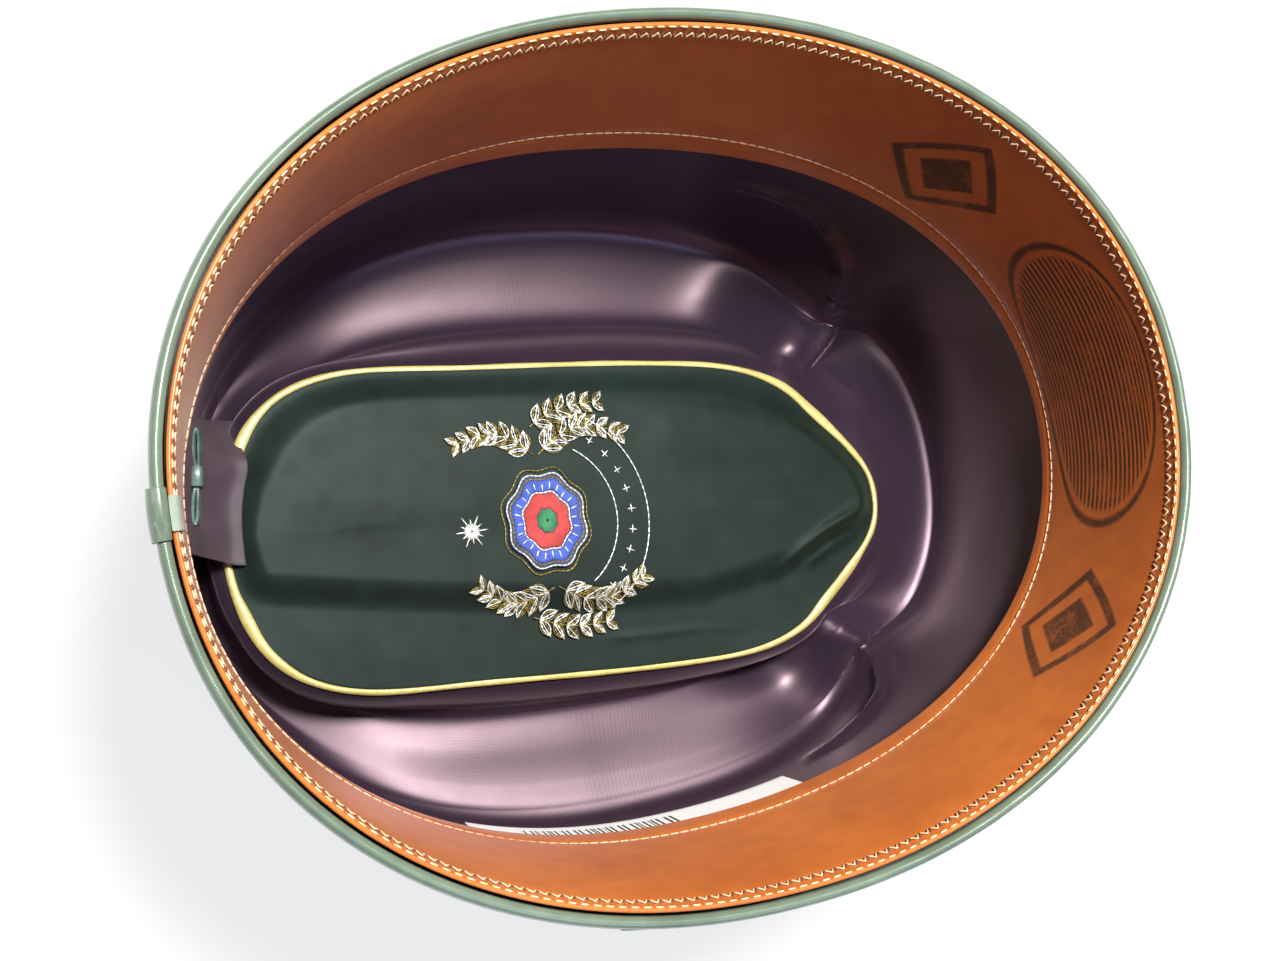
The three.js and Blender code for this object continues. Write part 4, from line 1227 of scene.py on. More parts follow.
@dataclass
class Sweatband:
    """The leather band with its stitching, seam pieces and bow."""

    columns: int = 480
    rows: int = 40
    seam_gap: float = 0.0004
    stitch_pitch: float = 0.0024
    thread: float = 0.00019
    row_depth: float = 0.0036
    edge_row_depth: float = 0.0012
    hem_margin: float = 0.0036
    hem_side_margin: float = 0.0035
    # height and reach of the leather's relief beside its rows of stitches
    groove: float = 0.00022
    row_reach: float = 0.0009
    hem_reach: float = 0.0006
    pucker: tuple = (0.00008, 0.0016)
    puff: tuple = (0.00018, 0.0015)
    wave: float = 0.0004
    # how much the leather's rows are drawn towards its two edges
    gather: float = 0.06
    # needle points below and above the middle of the saw-tooth row, and how deep the holes lie
    tooth_low: float = 0.0006
    tooth_high: float = 0.0009
    hole_low: float = 0.0008
    hole_high: float = 0.0003
    hole_sink: float = 0.0001
    # how high the saw-tooth row lies over the face, as a share of the thread, and its points over that
    lift_share: float = 0.7
    point_lift: float = 1.6
    # places of the needle points within each pitch, as shares of it: of the saw-tooth row from its foot over
    # its point to its heel, of the holes, of the row at the rim and of the hem
    tooth_at: tuple = (0.05, 0.42, 0.8)
    hole_at: tuple = (0.92, 0.925)
    rim_at: tuple = (0.1, 0.72)
    hem_at: tuple = (0.06, 0.94)
    seam_tape_top: float = 0.019
    seam_tape_width: float = 0.0095
    seam_tape_thickness: float = 0.0003
    tab_width: float = 0.0065
    tab_reach: float = 0.0045
    tab_thickness: float = 0.0004
    # how far the tab stands off the leather's visible face, the depth over which it rounds to there, and the
    # depth and distance of its bend on the way
    tab_stand: float = 0.0007
    tab_round: float = 0.0006
    tab_bend: tuple = (0.0002, 0.0005)

    def hem_depth(self, turn: Points) -> Points:
        """Returns the depth of the fine row that holds the turned-under free edge."""
        return BAND.bottom - self.hem_margin - self.hem_side_margin * np.sin(turn) ** 2

    def relief(self, turn: Points, depth: Points) -> Points:
        """Finds how far the leather stands out between its rows of stitches.

        Args:
            turn: Turns of the points.
            depth: Depths of the points.

        Returns:
            Distances inwards.
        """
        above, hem = depth - self.row_depth, depth - self.hem_depth(turn)
        groove = self.groove * (bell(above, self.row_reach) + bell(hem, self.hem_reach))
        puff = self.puff[0] * smooth_step(hem, 0.0, self.puff[1])
        pucker = self.pucker[0] * (0.5 + 0.5 * np.cos(turn * 250)) * bell(above, self.pucker[1])
        share = (depth - BAND.top) / (BAND.bottom - BAND.top)
        wave = self.wave * np.sin(HALF_TURN * share) * np.sin(turn * 3 + 1.1)
        return puff - groove + pucker + wave

    def leather(self) -> Shape:
        """Builds the leather band, open at the back seam, with rows gathered towards its two edges.

        Returns:
            The band.
        """
        share = column(0.0, 1.0, self.rows)
        depth = BAND.top + (BAND.bottom - BAND.top) * (share - self.gather * np.sin(share * FULL_TURN))
        turn, depth = np.broadcast_arrays(BAND.round_from_seam(self.seam_gap, self.columns), depth)
        points = BAND.at(turn, depth, -self.relief(turn, depth))
        piece = Bench.sheet("leather_band", points, BAND.thickness, ring=False)
        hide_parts("sweatband")
        return LEATHER.dress(piece, "leather")

    def stitches(self) -> list[Shape]:
        """Builds the saw-tooth row, dark pieces of painted shade sunk in its holes, the running row at the
        rim and the hem row.

        Returns:
            The four pieces.
        """
        fine = np.linspace(0.0, FULL_TURN, 4001)
        length = np.linalg.norm(np.diff(BAND.at(fine, self.row_depth), axis=0), axis=1)
        along = np.concatenate([[0.0], np.cumsum(length)])
        count = int(along[-1] / self.stitch_pitch)

        def row(shift: float, depth: float | Callable, lift: float) -> list[Vector]:
            """Returns points on the band's face, one for each pitch."""
            turn = np.interp((np.arange(count) + shift) * along[-1] / count, along, fine)
            return [Vector(p) for p in BAND.at(turn, depth(turn) if callable(depth) else depth, -lift)]

        low, lift, sink = self.row_depth, self.thread * self.lift_share, -self.hole_sink
        foot, heel = (row(self.tooth_at[k], low + self.tooth_low, lift) for k in (0, 2))
        peak = row(self.tooth_at[1], low - self.tooth_high, lift * self.point_lift)
        depths = low - self.hole_high, low + self.hole_low
        hole = [row(at, depth, sink) for at, depth in zip(self.hole_at, depths)]
        rim = [row(at, self.edge_row_depth, lift) for at in self.rim_at]
        hem = [row(at, self.hem_depth, 0.0) for at in self.hem_at]
        made = []
        for name, runs, share, finish in (
            ("saw_tooth_stitches", [(foot, peak), (peak, heel)], 1.0, LINEN_THREAD),
            # the dark pieces sunk at the holes are painted shade
            ("needle_hole_shade", [hole], 1.5, NEEDLE_HOLE_SHADE),
            ("rim_stitches", [rim], 1.0, LINEN_THREAD),
            ("hem_stitches", [hem], 0.95, HEM_THREAD),
        ):
            pairs = [pair for first, last in runs for pair in zip(first, last)]
            places = [span(a, b, Vector((-a.x, -a.y, 0.0)).normalized()) for a, b in pairs]
            made.append(finish.dress(Bench.sew(name, self.thread * share, places), "leather"))
        return made

    def seam(self) -> list[Shape]:
        """Builds the tape behind the seam and the tab over its top.

        Returns:
            The tape and the tab.
        """
        turn = BAND.near_seam(self.seam_tape_width / 2, 16)
        points = BAND.at(turn, column(self.seam_tape_top, BAND.bottom, 30), BAND.behind)
        tape = Bench.sheet("seam_tape", points, self.seam_tape_thickness, ring=False)
        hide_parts("sweatband_seam_tape")
        top = BAND.top - LAYER_GAP - self.tab_thickness
        bend, bend_stand = self.tab_bend
        corner = [(top, BAND.thickness - LAYER_GAP), (top, 0.0), (top + bend, -bend_stand)]
        corner += [(top + self.tab_round + self.tab_reach * k / 6, -self.tab_stand) for k in range(7)]
        turn = BAND.near_seam(self.tab_width / 2, 16)
        points = np.stack([BAND.at(turn, depth, outwards) for depth, outwards in corner])
        tab = Bench.sheet("woven_tab", points, self.tab_thickness, ring=False)
        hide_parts("sweatband_tab")
        return [TAPE.dress(tape, "seam_tape"), PALE_TAB.dress(tab, "tab")]

    def build(self) -> list[Shape]:
        """Builds all pieces of the sweatband."""
        return [self.leather(), *self.stitches(), *self.seam(), *SmallBow().build()]


@dataclass
class SmallBow:
    """The ribbon bow at the free edge of the band's back seam."""

    ribbon_width: float = 0.005
    ribbon_thickness: float = 0.00045
    half_length: float = 0.009
    loop_height: float = 0.0026
    loop_share: float = 0.5
    waist: float = 0.0011
    waist_share: float = 0.72
    ruffle: float = 0.00025
    # where a loop begins, as a share of the knot's width, and how full it is near the knot
    loop_start: float = 0.32
    loop_full: float = 0.55
    # places along a loop between which it widens, and between which it ruffles
    waist_reach: tuple = (0.001, 0.006)
    ruffle_reach: tuple = (0.001, 0.005)
    edge_margin: float = 0.0045
    stand_off: float = 0.00115
    knot_width: float = 0.0036
    knot_margin: float = 0.0005
    # how much the knot narrows at its ends, and how square its section is: 1 is round, nearer 0 squarer
    knot_pinch: float = 0.1
    knot_square: float = 0.5
    shift: float = 0.0144
    ribs: int = 48

    def frame(self) -> Matrix:
        """Finds the bow's place.

        Returns:
            Matrix with X along its loops, Y away from the leather and Z up the band.
        """
        depth = BAND.bottom - self.edge_margin - self.ribbon_width / 2
        turn = HALF_TURN - self.shift / FORM.rim_half_length
        seat = Vector(BAND.at(turn, depth))
        up = (Vector(BAND.at(turn, depth - self.ribbon_width)) - seat).normalized()
        inwards = up.cross(Vector(BAND.at(turn + 0.001, depth)) - seat).normalized()
        matrix = Matrix((inwards.cross(up), inwards, up)).transposed().to_4x4()
        matrix.translation = seat + inwards * (self.stand_off + self.loop_height / 2)
        return matrix

    def loop(self, side: float) -> Points:
        """Finds the points of one loop.

        Args:
            side: 1 or -1, the way that the loop points along the bow.

        Returns:
            Points in the bow's own frame, by row across the ribbon and by column along it.
        """
        turn, across = np.linspace(0.0, FULL_TURN, self.ribs + 1), column(-0.5, 0.5, 9)
        start = self.knot_width * self.loop_start
        along = start + (self.half_length - start - self.ribbon_thickness / 2) * (1 - np.cos(turn)) / 2
        swell = np.sin(turn) * (self.loop_full + (1 - self.loop_full) * np.abs(np.sin(turn / 2)))
        height = swell * (self.loop_height / 2 - self.ribbon_thickness * 0.6) * self.loop_share
        width = self.waist_share + (1 - self.waist_share) * smooth_step(along, *self.waist_reach)
        ruffle = self.ruffle * np.sin(across * 9) * smooth_step(along, *self.ruffle_reach)
        return np.stack(
            [side * along + np.zeros_like(across), height + ruffle, across * self.ribbon_width * width], -1
        )

    def knot(self) -> Points:
        """Finds the points of the knot.

        Returns:
            Points in the bow's own frame, by row along the bow and by column round it.
        """
        turn, share = np.linspace(0.0, FULL_TURN, 33), column(-0.5, 0.5, 9)
        high = self.waist / 2 + LAYER_GAP + self.ribbon_thickness / 2
        pinch = 1 - self.knot_pinch * (2 * share) ** 2
        y = signed_power(np.sin(turn), self.knot_square) * high * pinch
        z = signed_power(np.cos(turn), self.knot_square) * (self.ribbon_width / 2 + self.knot_margin) * pinch
        return np.stack([share * self.knot_width + np.zeros_like(y), y, z], -1)

    def build(self) -> list[Shape]:
        """Builds the loops and the knot, each of soft ribbon.

        Returns:
            The three pieces.
        """
        made, place = [], self.frame()
        for name, points, node in (
            ("small_bow_left_loop", self.loop(-1.0), "sweatband_bow"),
            ("small_bow_right_loop", self.loop(1.0), "sweatband_bow"),
            ("small_bow_knot", self.knot(), "sweatband_bow_knot"),
        ):
            points = points @ np.array(place.to_3x3()).T + np.array(place.translation)
            piece = Bench.surface(name, points[:, :-1], True, Side.INTO_HAT)
            Bench.apply(piece, "SOLIDIFY", thickness=self.ribbon_thickness, offset=0.0)
            Bench.outward(piece)
            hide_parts(node)
            made.append(BOW_RIBBON.dress(Bench.shade(piece, 50.0), "ribbon"))
        return made


@dataclass
class Lining:
    """The satin lining: side, lap, tip with its backing, piping and rosette."""

    columns: int = 360
    rows: int = 132
    top: float = 0.014
    thickness: float = 0.0004
    backing_thickness: float = 0.0008
    piping_radius: float = 0.0008
    piping_columns: int = 420
    # directions in degrees of the tip's corners, where the piping is pressed wide, and how much and how far
    corners: tuple = (38.0, -36.0, 152.0, -150.0)
    corner_share: float = 0.75
    corner_reach: float = math.radians(14.0)
    piping_uneven: float = 0.08
    # how far the side lining puffs out beside the piping, and the height of its waves
    puff: float = 0.0007
    wave: float = 0.00022
    # how often the valleys are rounded, and the share of the way to their neighbours' height each time
    rounds: int = 110
    round_share: float = 0.6
    # width and length of each cut, in metres, and its area in square metres
    side_cut: tuple = (0.125, 0.585)
    side_area: float = 0.063
    tip_cut: tuple = (0.077, 0.167)
    tip_area: float = 0.01
    # where the satin hangs loose, and for each side its start across, its height there, its slopes outwards
    # and forward, and the height of the swell along its middle
    lobe_back: tuple = (-0.085, -0.055)
    lobe_front: tuple = (0.046, 0.084)
    lobe_blend: float = 0.006
    lobe_start: tuple = (-0.001, 0.003)
    upper_lobe: tuple = (0.038, 0.002, 0.1, 0.03, 0.0)
    lower_lobe: tuple = (0.0375, 0.0118, 0.15, 0.08, 0.0012)
    swell_reach: tuple = (0.011, 0.005)
    swell_ends: tuple = (-0.05, -0.03, 0.0, 0.03)
    # creases of the side lining as turn in degrees and place, then half width and height in metres
    creases: tuple = (
        (((44.5, 9.45), (42.0, 7.9), (39.0, 6.6), (39.5, 4.75), (40.5, 4.25), (44.5, 4.0), (50.0, 3.85),
          (56.0, 3.9), (65.0, 4.05)), 0.0021, 0.0024),
        (((-45.0, 7.95), (-41.0, 6.65), (-42.5, 4.75), (-47.0, 4.35), (-52.0, 4.3), (-58.5, 4.35),
          (-64.0, 4.5)), 0.0021, 0.0022),
        (((86.0, 4.4), (100.0, 4.1), (116.0, 4.3)), 0.006, 0.0006),
        (((150.0, 6.2), (156.0, 7.6), (160.0, 9.4)), 0.0025, 0.0006),
        (((-150.0, 5.0), (-158.0, 6.8), (-160.0, 9.0)), 0.0025, 0.0005),
    )

    def crease(self, points: Points) -> Points:
        """Finds how far the satin stands up along its creases.

        Args:
            points: Points of the satin by row and column.

        Returns:
            Heights by row and column.
        """
        height, ends = np.zeros(points.shape[:2]), np.sin(np.linspace(0.0, HALF_TURN, 60)) ** 0.5
        for line, width, tall in self.creases:
            step = np.linspace(0, len(line) - 1, 60)
            turn, place = sampled(step - np.sin(FULL_TURN * step) * 0.03, np.array(line)).T
            ridge = FORM.layer(np.radians(turn), place[None, :], FORM.side_inset)[0]
            away, fade = np.full(points.shape[:2], np.inf), np.zeros(points.shape[:2])
            for spot, end in zip(ridge, ends):
                distance = np.linalg.norm(points - spot, axis=-1)
                fade = np.where(distance < away, end, fade)
                away = np.minimum(away, distance)
            height += tall * fade * bell(away, width)
        return height

    def bridge(self, points: Points) -> Points:
        """Finds the heights of the satin where it hangs loose across the channel beside the tip.

        Args:
            points: Points of the satin as it follows the felt.

        Returns:
            Heights, never below those of the points.
        """
        x, y, z = np.moveaxis(points, -1, 0)
        along, across = turned(x, y - FORM.tip_shift, -FORM.tip_twist)
        lobe = smooth_step(along, *self.lobe_back) * (1 - smooth_step(along, *self.lobe_front))
        middle, reach = self.swell_reach
        first, second, third, last = self.swell_ends
        swollen = smooth_step(along, first, second) * (1 - smooth_step(along, third, last))
        for sign, (start, base, slope, rise, swell) in ((1.0, self.upper_lobe), (-1.0, self.lower_lobe)):
            away = across * sign - start
            plane = base + slope * away + rise * along + swell * swollen * bell(away - middle, reach)
            loose = (z + plane + np.hypot(z - plane, self.lobe_blend)) / 2
            z = np.where(across * sign > 0, z + (loose - z) * lobe * smooth_step(away, *self.lobe_start), z)
        return z

    def ease(self, felt: Points, z: Points, place: Points) -> Points:
        """Rounds the valleys of the satin, as cloth does that isn't pressed into them.

        Args:
            felt: Heights of the satin where it follows the felt.
            z: Heights of the satin as it hangs.
            place: Places of the rows.

        Returns:
            Rounded heights, nowhere below those that follow the felt.
        """
        share = smooth_step(place, 4.5, 6.0) * (1 - smooth_step(place, 9.5, 9.9))
        for _ in range(self.rounds):
            level = np.pad(z, ((1, 1), (0, 0)), mode="edge")
            near = (level[:-2] + level[2:] + np.roll(z, 1, 1) + np.roll(z, -1, 1)) / 4
            z = np.maximum(z + (near - z) * self.round_share * share, felt)
        return z

    def side(self) -> Shape:
        """Builds the side lining, which puffs out beside the piping and creases at the front pinches.

        Returns:
            The side lining.
        """
        turn = even_turns(self.columns)
        place = FORM.rows_between(FORM.place_at(turn, self.top), FORM.tip_place - 0.06, self.rows)
        points = FORM.layer(turn, place, FORM.side_inset + self.puff * smooth_step(place, 8.8, 9.8))
        wave = self.wave * np.sin(place * 1.7 + 3 * np.sin(turn * 2)) * smooth_step(place, 2.0, 4.0)
        inward, ridges = FORM.inward(turn, place), self.crease(points)
        points = points + inward * np.maximum(wave, 0.0)[..., None]
        points[..., 2] = self.ease(points[..., 2], self.bridge(points), place)
        piece = Bench.sheet("side_lining", points + inward * ridges[..., None], self.thickness)
        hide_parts("lining_side")
        return SIDE_SATIN.dress(piece, "satin_side")

    def tip(self) -> list[Shape]:
        """Builds the satin tip and its backing.

        Returns:
            The tip and the backing.
        """
        turn, share = even_turns(self.columns), np.linspace(0.0, 1.0, 60)[:, None, None]
        places = FORM.tip_place + 0.02, FORM.centre_place
        edge, middle = (FORM.ring(turn, place, FORM.tip_inset) for place in places)

        def laid(inwards: Points, share: Points, below: float) -> Points:
            """Finds points under the satin.

            Args:
                inwards: How far in from the edge, from 0 to 1.
                share: The same for the satin's height.
                below: Distance under it.

            Returns:
                The points.
            """
            points = edge + (middle - edge) * inwards
            points[..., 2] = TIP.height(points[..., 0], points[..., 1], share[..., 0]) - below
            return points

        piece = Bench.sheet("tip_lining", laid(share, share, 0.0), self.thickness)
        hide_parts("lining_tip")
        share = share[::3]
        points = laid(0.04 + 0.96 * share, share, self.thickness + LAYER_GAP)
        backing = Bench.sheet("tip_stiffener", points, self.backing_thickness)
        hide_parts("tip_backing")
        return [TIP_SATIN.dress(piece, "satin_tip"), BACKING.dress(backing, "backing")]

    def piping(self) -> Shape:
        """Builds the gold piping round the tip, pressed wide and flat at the tip's corners.

        Returns:
            The piping.
        """
        turn, radius = even_turns(self.piping_columns), self.piping_radius
        middle = FORM.ring(turn, FORM.tip_place, FORM.tip_inset - radius / 2)[0]
        inward = FORM.inward(turn, np.full((1, len(turn)), float(FORM.tip_place)))[0]
        across = unit(np.cross(inward, unit(np.roll(middle, -1, 0) - np.roll(middle, 1, 0))))
        wide = sum(bell(turn_from(turn, math.radians(corner)), self.corner_reach) for corner in self.corners)
        wide = (1 + self.corner_share * wide + self.piping_uneven * np.sin(turn * 23))[:, None]
        angle = even_turns(12)[:, None, None]
        section = across * np.cos(angle) * wide + inward * np.sin(angle)
        piece = Bench.tube("gold_piping", middle + radius * section)
        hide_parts("tip_piping")
        return PIPING.dress(piece, "piping")

    def build(self) -> list[Shape]:
        """Builds all pieces of the lining."""
        side, tip, lap = self.side(), self.tip(), Lap().build()
        return [side, *tip, self.piping(), lap, *Rosette().build()]


@dataclass(frozen=True)
class TipForm:
    """Height of the satin tip, which sinks to its piping and lies in a few long folds, in metres."""

    lift: float = 0.0033
    # each fold is a line of points forward and to the wearer's right in millimetres, a half width, a drop and
    # whether it runs on past its ends
    folds: tuple = (
        (((-80, -9), (-73, -10.1), (-43, -16.2), (-7, -22.6), (28, -26.1), (50, -22.9), (62, -18.5),
          (80, -14)), 0.0036, 0.0032, True),
        (((-80, 34), (-59, 32.5), (-13, 27), (36, 20), (59, 12), (80, 6)), 0.005, -0.0016, True),
        (((20, -34), (40, -36), (60, -37)), 0.0012, 0.0004, False),
    )
    # a short ridge is a line of such points, a half width and a height
    ridges: tuple = (
        (((47, -24.2), (61, -16.7), (73, -12)), 0.0016, 0.0011),
        (((56, -24), (64, -20.4), (72, -18.2)), 0.0013, 0.0009),
        (((-66, 8.5), (-40, 4), (-20, 1)), 0.006, 0.0004),
        (((20, 11), (40, 9), (66, 3)), 0.006, 0.0004),
        (((5, -33), (26, -34.8), (41, -37)), 0.001, 0.0004),
    )
    # how far before its ends and within them a fold and a ridge fade
    fold_fade: tuple = (0.01, 0.01)
    ridge_fade: tuple = (0.004, 0.006)

    def height(self, x: Points, y: Points, share: Points) -> Points:
        """Finds the height of the satin.

        Args:
            x: Places forward.
            y: Places to the wearer's right.
            share: How far in from the outline, from 0 to 1 at the middle line.

        Returns:
            Heights above what the crown rests on.
        """

        def beside(line: tuple, before: float, after: float) -> tuple[Points, Points]:
            """Measures how places lie to a line.

            Args:
                line: Points of the line in millimetres.
                before: How far beyond its ends it fades out.
                after: How far within them.

            Returns:
                Distances aside of it, and shares that fade out at its two ends.
            """
            xs, ys = np.array(line).T * MM
            begun = smooth_step(x, xs[0] - before, xs[0] + after)
            done = smooth_step(x, xs[-1] - after, xs[-1] + before)
            return y - np.interp(x, xs, ys), begun * (1 - done)

        seat = FORM.depth - FORM.tip_depth + FORM.tip_inset + FORM.tip_crown * np.sin(share * HALF_TURN / 2)
        edge = smooth_step(share, 0.0, 0.2)
        z = seat + self.lift * edge
        for line, width, drop, endless in self.folds:
            away, ends = beside(line, *self.fold_fade)
            side = smooth_step(-away if drop > 0 else away, -width, width)
            z = z - abs(drop) * side * edge * (1.0 if endless else ends)
        for line, width, tall in self.ridges:
            away, ends = beside(line, *self.ridge_fade)
            z = z + tall * ends * bell(away, width) * smooth_step(share, 0.0, 0.12)
        return np.maximum(z, seat)


TIP = TipForm()


@dataclass
class Lap:
    """The lap of the side lining that bridges from the back wall to the tip, in soft folds."""

    width: float = 0.030
    shift: float = 0.012
    thickness: float = 0.0005
    wall_gap: float = 0.0008
    top_depth: float = 0.051
    stand_off: float = 0.0016
    reach: float = 0.0035
    sag_share: float = 1 / 3
    fold: float = 0.0005
    top_tuck: float = 0.006
    top_sink: float = 0.006
    slant: float = 0.0045
    point: float = 0.0015
    cut: tuple = (0.03, 0.0425)
    columns: int = 41
    rows: int = 46
    smoothings: int = 6

    @staticmethod
    def behind(across: float, place: float, inset: float) -> Points:
        """Returns the point of a layer near the back at a place, so far to the wearer's right."""
        row = FORM.ring(np.linspace(0.6 * math.pi, 1.4 * math.pi, 400), place, inset)[0]
        return np.array([np.interp(-across, -row[:, 1], part) for part in row.T])

    def strip(self, across: float) -> Points:
        """Finds the points of one column, down the lap.

        Args:
            across: How far the column lies to the wearer's right.

        Returns:
            Points, rounded at the corners of the rows that the solid has.
        """
        edge = self.behind(across, FORM.tip_place, FORM.tip_inset)
        end = np.array([edge[0] + self.reach, across, edge[2] + self.stand_off + FORM.tip_crown])
        depths = np.array([self.top_depth, (self.top_depth + FORM.tip_depth) / 2])
        places = FORM.place_at(np.full(2, HALF_TURN), depths)
        top, low = (self.behind(across, place, FORM.side_inset + self.wall_gap) for place in places)
        bend = np.array([(low[0] + edge[0]) / 2, across, end[2] + (low[2] - end[2]) * self.sag_share])
        over = np.array([edge[0], across, end[2] + self.thickness])
        rows = np.stack([top, (top + low) / 2 + (LAYER_GAP, 0.0, 0.0), low, bend, over, end])
        smooth = sampled(np.linspace(0, 5, self.rows), rows)
        for _ in range(self.smoothings):
            smooth[1:-1] = (smooth[:-2] + 2 * smooth[1:-1] + smooth[2:]) / 4
        return smooth

    def build(self) -> Shape:
        """Builds the lap from the same rows as the solid, drawn as smooth curves with soft folds.

        Returns:
            The lap.
        """
        places = np.linspace(self.shift + self.width / 2, self.shift - self.width / 2, self.columns)
        points = np.stack([self.strip(across) for across in places], 1)
        share, down = np.linspace(0.0, 1.0, self.columns), column(0.0, 1.0, self.rows)
        fold = self.fold * np.sin(FULL_TURN * (share * 2.4 + 0.35 * down)) * np.sin(HALF_TURN * down)
        tuck = self.top_tuck * (1 - smooth_step(share, 0.0, 0.42)) * smooth_step(down, 0.3, 1.0)
        points[..., 0] += fold - tuck
        points[..., 1] += self.slant * (1 - smooth_step(down, 0.1, 0.9)) * smooth_step(share, 0.6, 1.0)
        points[..., 1] -= self.point * smooth_step(down, 0.6, 1.0) * smooth_step(share, 0.7, 1.0)
        points[..., 2] -= self.top_sink * (1 - smooth_step(share, 0.0, 0.35)) * smooth_step(down, 0.2, 0.8)
        piece = Bench.sheet("lining_lap_cloth", points, self.thickness, ring=False)
        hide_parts("lining_lap")
        return LAP_SATIN.dress(piece, "satin_side")


@dataclass
class Rosette:
    """The patch on the tip: a scalloped medallion of plain rings, with leaf sprays and arcs round it."""

    centre: tuple[float, float] = (-0.0085, -0.0045)
    half: tuple[float, float] = (0.0095, 0.011)
    scallops: int = 8
    scallop_share: float = 0.05
    thread: float = 0.00022
    patch_lift: float = 0.0003
    patch_thickness: float = 0.0005
    stitch: float = 0.0011
    long_stitch: float = 0.0018
    dash: float = 0.0016
    dot: float = 0.0009
    star: tuple[float, float] = (-0.0262, -0.0045)
    star_rays: tuple = (0.0038, 0.0019, 0.0028, 0.0019)
    # each spray is a start, an end and a bend of its stem in millimetres, and its number of leaf pairs
    stems: tuple = (
        ((-9, 10.5), (-27, 15), 3.5, 8), ((-8, 10.5), (13, 13), 4.0, 9),
        ((-9, 17), (8, 21), 1.5, 6), ((-9, -19.5), (-26, -17), -3.5, 8),
        ((-8, -19.5), (13, -20), -4.0, 9), ((-14, -25.5), (4, -29), -1.5, 6),
    )
    # length of the first leaves, how much shorter the last are, and how far each turns from the stem
    leaf_length: float = 0.0044
    leaf_loss: float = 0.0014
    leaf_turn: float = 0.75
    leaf_bulges: tuple = (0.28, -0.28, 0.15, -0.15, 0.0)
    # shares of the half sizes at which the arcs lie, and how much longer they are forward
    arc_shares: tuple = (1.62, 2.35)
    arc_stretch: float = 1.12
    cross_shares: tuple = (2.2, 1.98)
    # half the reach of the arcs and of their crosses, in degrees, and the number of crosses
    arc_reach: float = 58.0
    cross_reach: float = 50.0
    crosses: int = 9
    # share by which the stitches of a line overlap
    overlap: float = 0.12

    def around(self, angle: Points, along: Points, across: Points | None = None) -> Points:
        """Finds points in plan round the centre.

        Args:
            angle: Directions.
            along: Shares of the half size forward.
            across: Shares of the half size across, or None for the same ones.

        Returns:
            The points.
        """
        across = along if across is None else across
        x, y = self.half[0] * along * np.cos(angle), self.half[1] * across * np.sin(angle)
        return np.stack([self.centre[0] + x, self.centre[1] + y], -1)

    def outline(self, angle: Points, share: Points) -> Points:
        """Returns points in plan on a smaller copy of the patch's edge."""
        return self.around(angle, share * (1 - self.scallop_share * np.cos(self.scallops * angle)))

    @staticmethod
    def on(plan: Points, lift: float) -> Points:
        """Returns points in plan laid on the satin, at a height above it."""
        z = TIP.height(plan[..., 0], plan[..., 1], np.ones(plan.shape[:-1])) + lift
        return np.concatenate([plan, z[..., None]], -1)

    def patch(self) -> Shape:
        """Builds the patch, crowned a little.

        Returns:
            The patch.
        """
        plan = self.outline(even_turns(128), column(1.0, 0.02, 16))
        points = self.on(plan, self.patch_lift + self.patch_thickness)
        piece = Bench.sheet("rosette_patch", points, self.patch_thickness)
        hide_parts("tip_rosette")
        return PATCH_GROUND.dress(piece, "rosette")

    def ring(self, low: float, high: float, count: int) -> list[Matrix]:
        """Finds radial stitches on the patch.

        Args:
            low: Share of the patch's edge at which they start.
            high: Share at which they end.
            count: Number of stitches.

        Returns:
            Places of the stitches.
        """
        lift = self.patch_lift + self.patch_thickness + self.thread * 0.4
        first, last = (self.on(self.outline(even_turns(count), share), lift) for share in (low, high))
        return [span(Vector(a), Vector(b)) for a, b in zip(first, last)]

    def path(self, plan: Points, lift: float, length: float) -> list[Matrix]:
        """Finds stitches end to end along a line.

        Args:
            plan: Points of the line in plan.
            lift: Height above the satin.
            length: Length of a stitch.

        Returns:
            Places of the stitches.
        """
        run = np.concatenate([[0.0], np.cumsum(np.linalg.norm(np.diff(plan, axis=0), axis=1))])
        cuts = np.linspace(0.0, run[-1], max(1, round(run[-1] / length)) + 1)
        line = self.on(np.stack([np.interp(cuts, run, part) for part in plan.T], -1), lift)
        spots = [Vector(p) for p in line]
        return [span(a, b + (b - a) * self.overlap) for a, b in zip(spots, spots[1:])]

    def leaf(self, root: Points, way: float, size: float) -> list[Points]:
        """Finds the lines of a leaf.

        Args:
            root: Where it starts, in plan.
            way: Its direction.
            size: Its length.

        Returns:
            Its four sides and its vein, in plan.
        """
        t, lines = np.linspace(0.0, 1.0, 7), []
        for bulge in self.leaf_bulges:
            line = turned(t * size, bulge * size * np.sin(HALF_TURN * t), way)
            lines.append(root + np.stack(line, -1))
        return lines

    def sprays(self) -> tuple[list[Matrix], list[Matrix]]:
        """Finds the stitches of the leafy sprays.

        Returns:
            Places of the gold and of the silver stitches.
        """
        gold, silver, low = [], [], self.thread * 0.6
        t = column(0.0, 1.0, 24)
        for start, end, bend, leaves in self.stems:
            a, b = np.array(start) * MM, np.array(end) * MM
            side = np.array([-(b - a)[1], (b - a)[0]]) / np.linalg.norm(b - a)
            side *= math.copysign(bend, side[1] * bend) * MM
            stem = a + (b - a) * t + side * np.sin(HALF_TURN * t)
            gold += self.path(stem, low, self.stitch)
            for k in range(leaves):
                index = 2 + round(20 * k / (leaves - 1))
                ahead = stem[min(index + 1, 23)] - stem[index - 1]
                size = self.leaf_length - self.leaf_loss * k / leaves
                for turn in (self.leaf_turn, -self.leaf_turn):
                    *sides, vein = self.leaf(stem[index], math.atan2(ahead[1], ahead[0]) + turn, size)
                    for number, line in enumerate(sides):
                        (gold if (k + number) % 3 else silver).extend(self.path(line, low, self.stitch))
                    silver += self.path(vein, self.thread * 0.8, self.long_stitch)
        return gold, silver

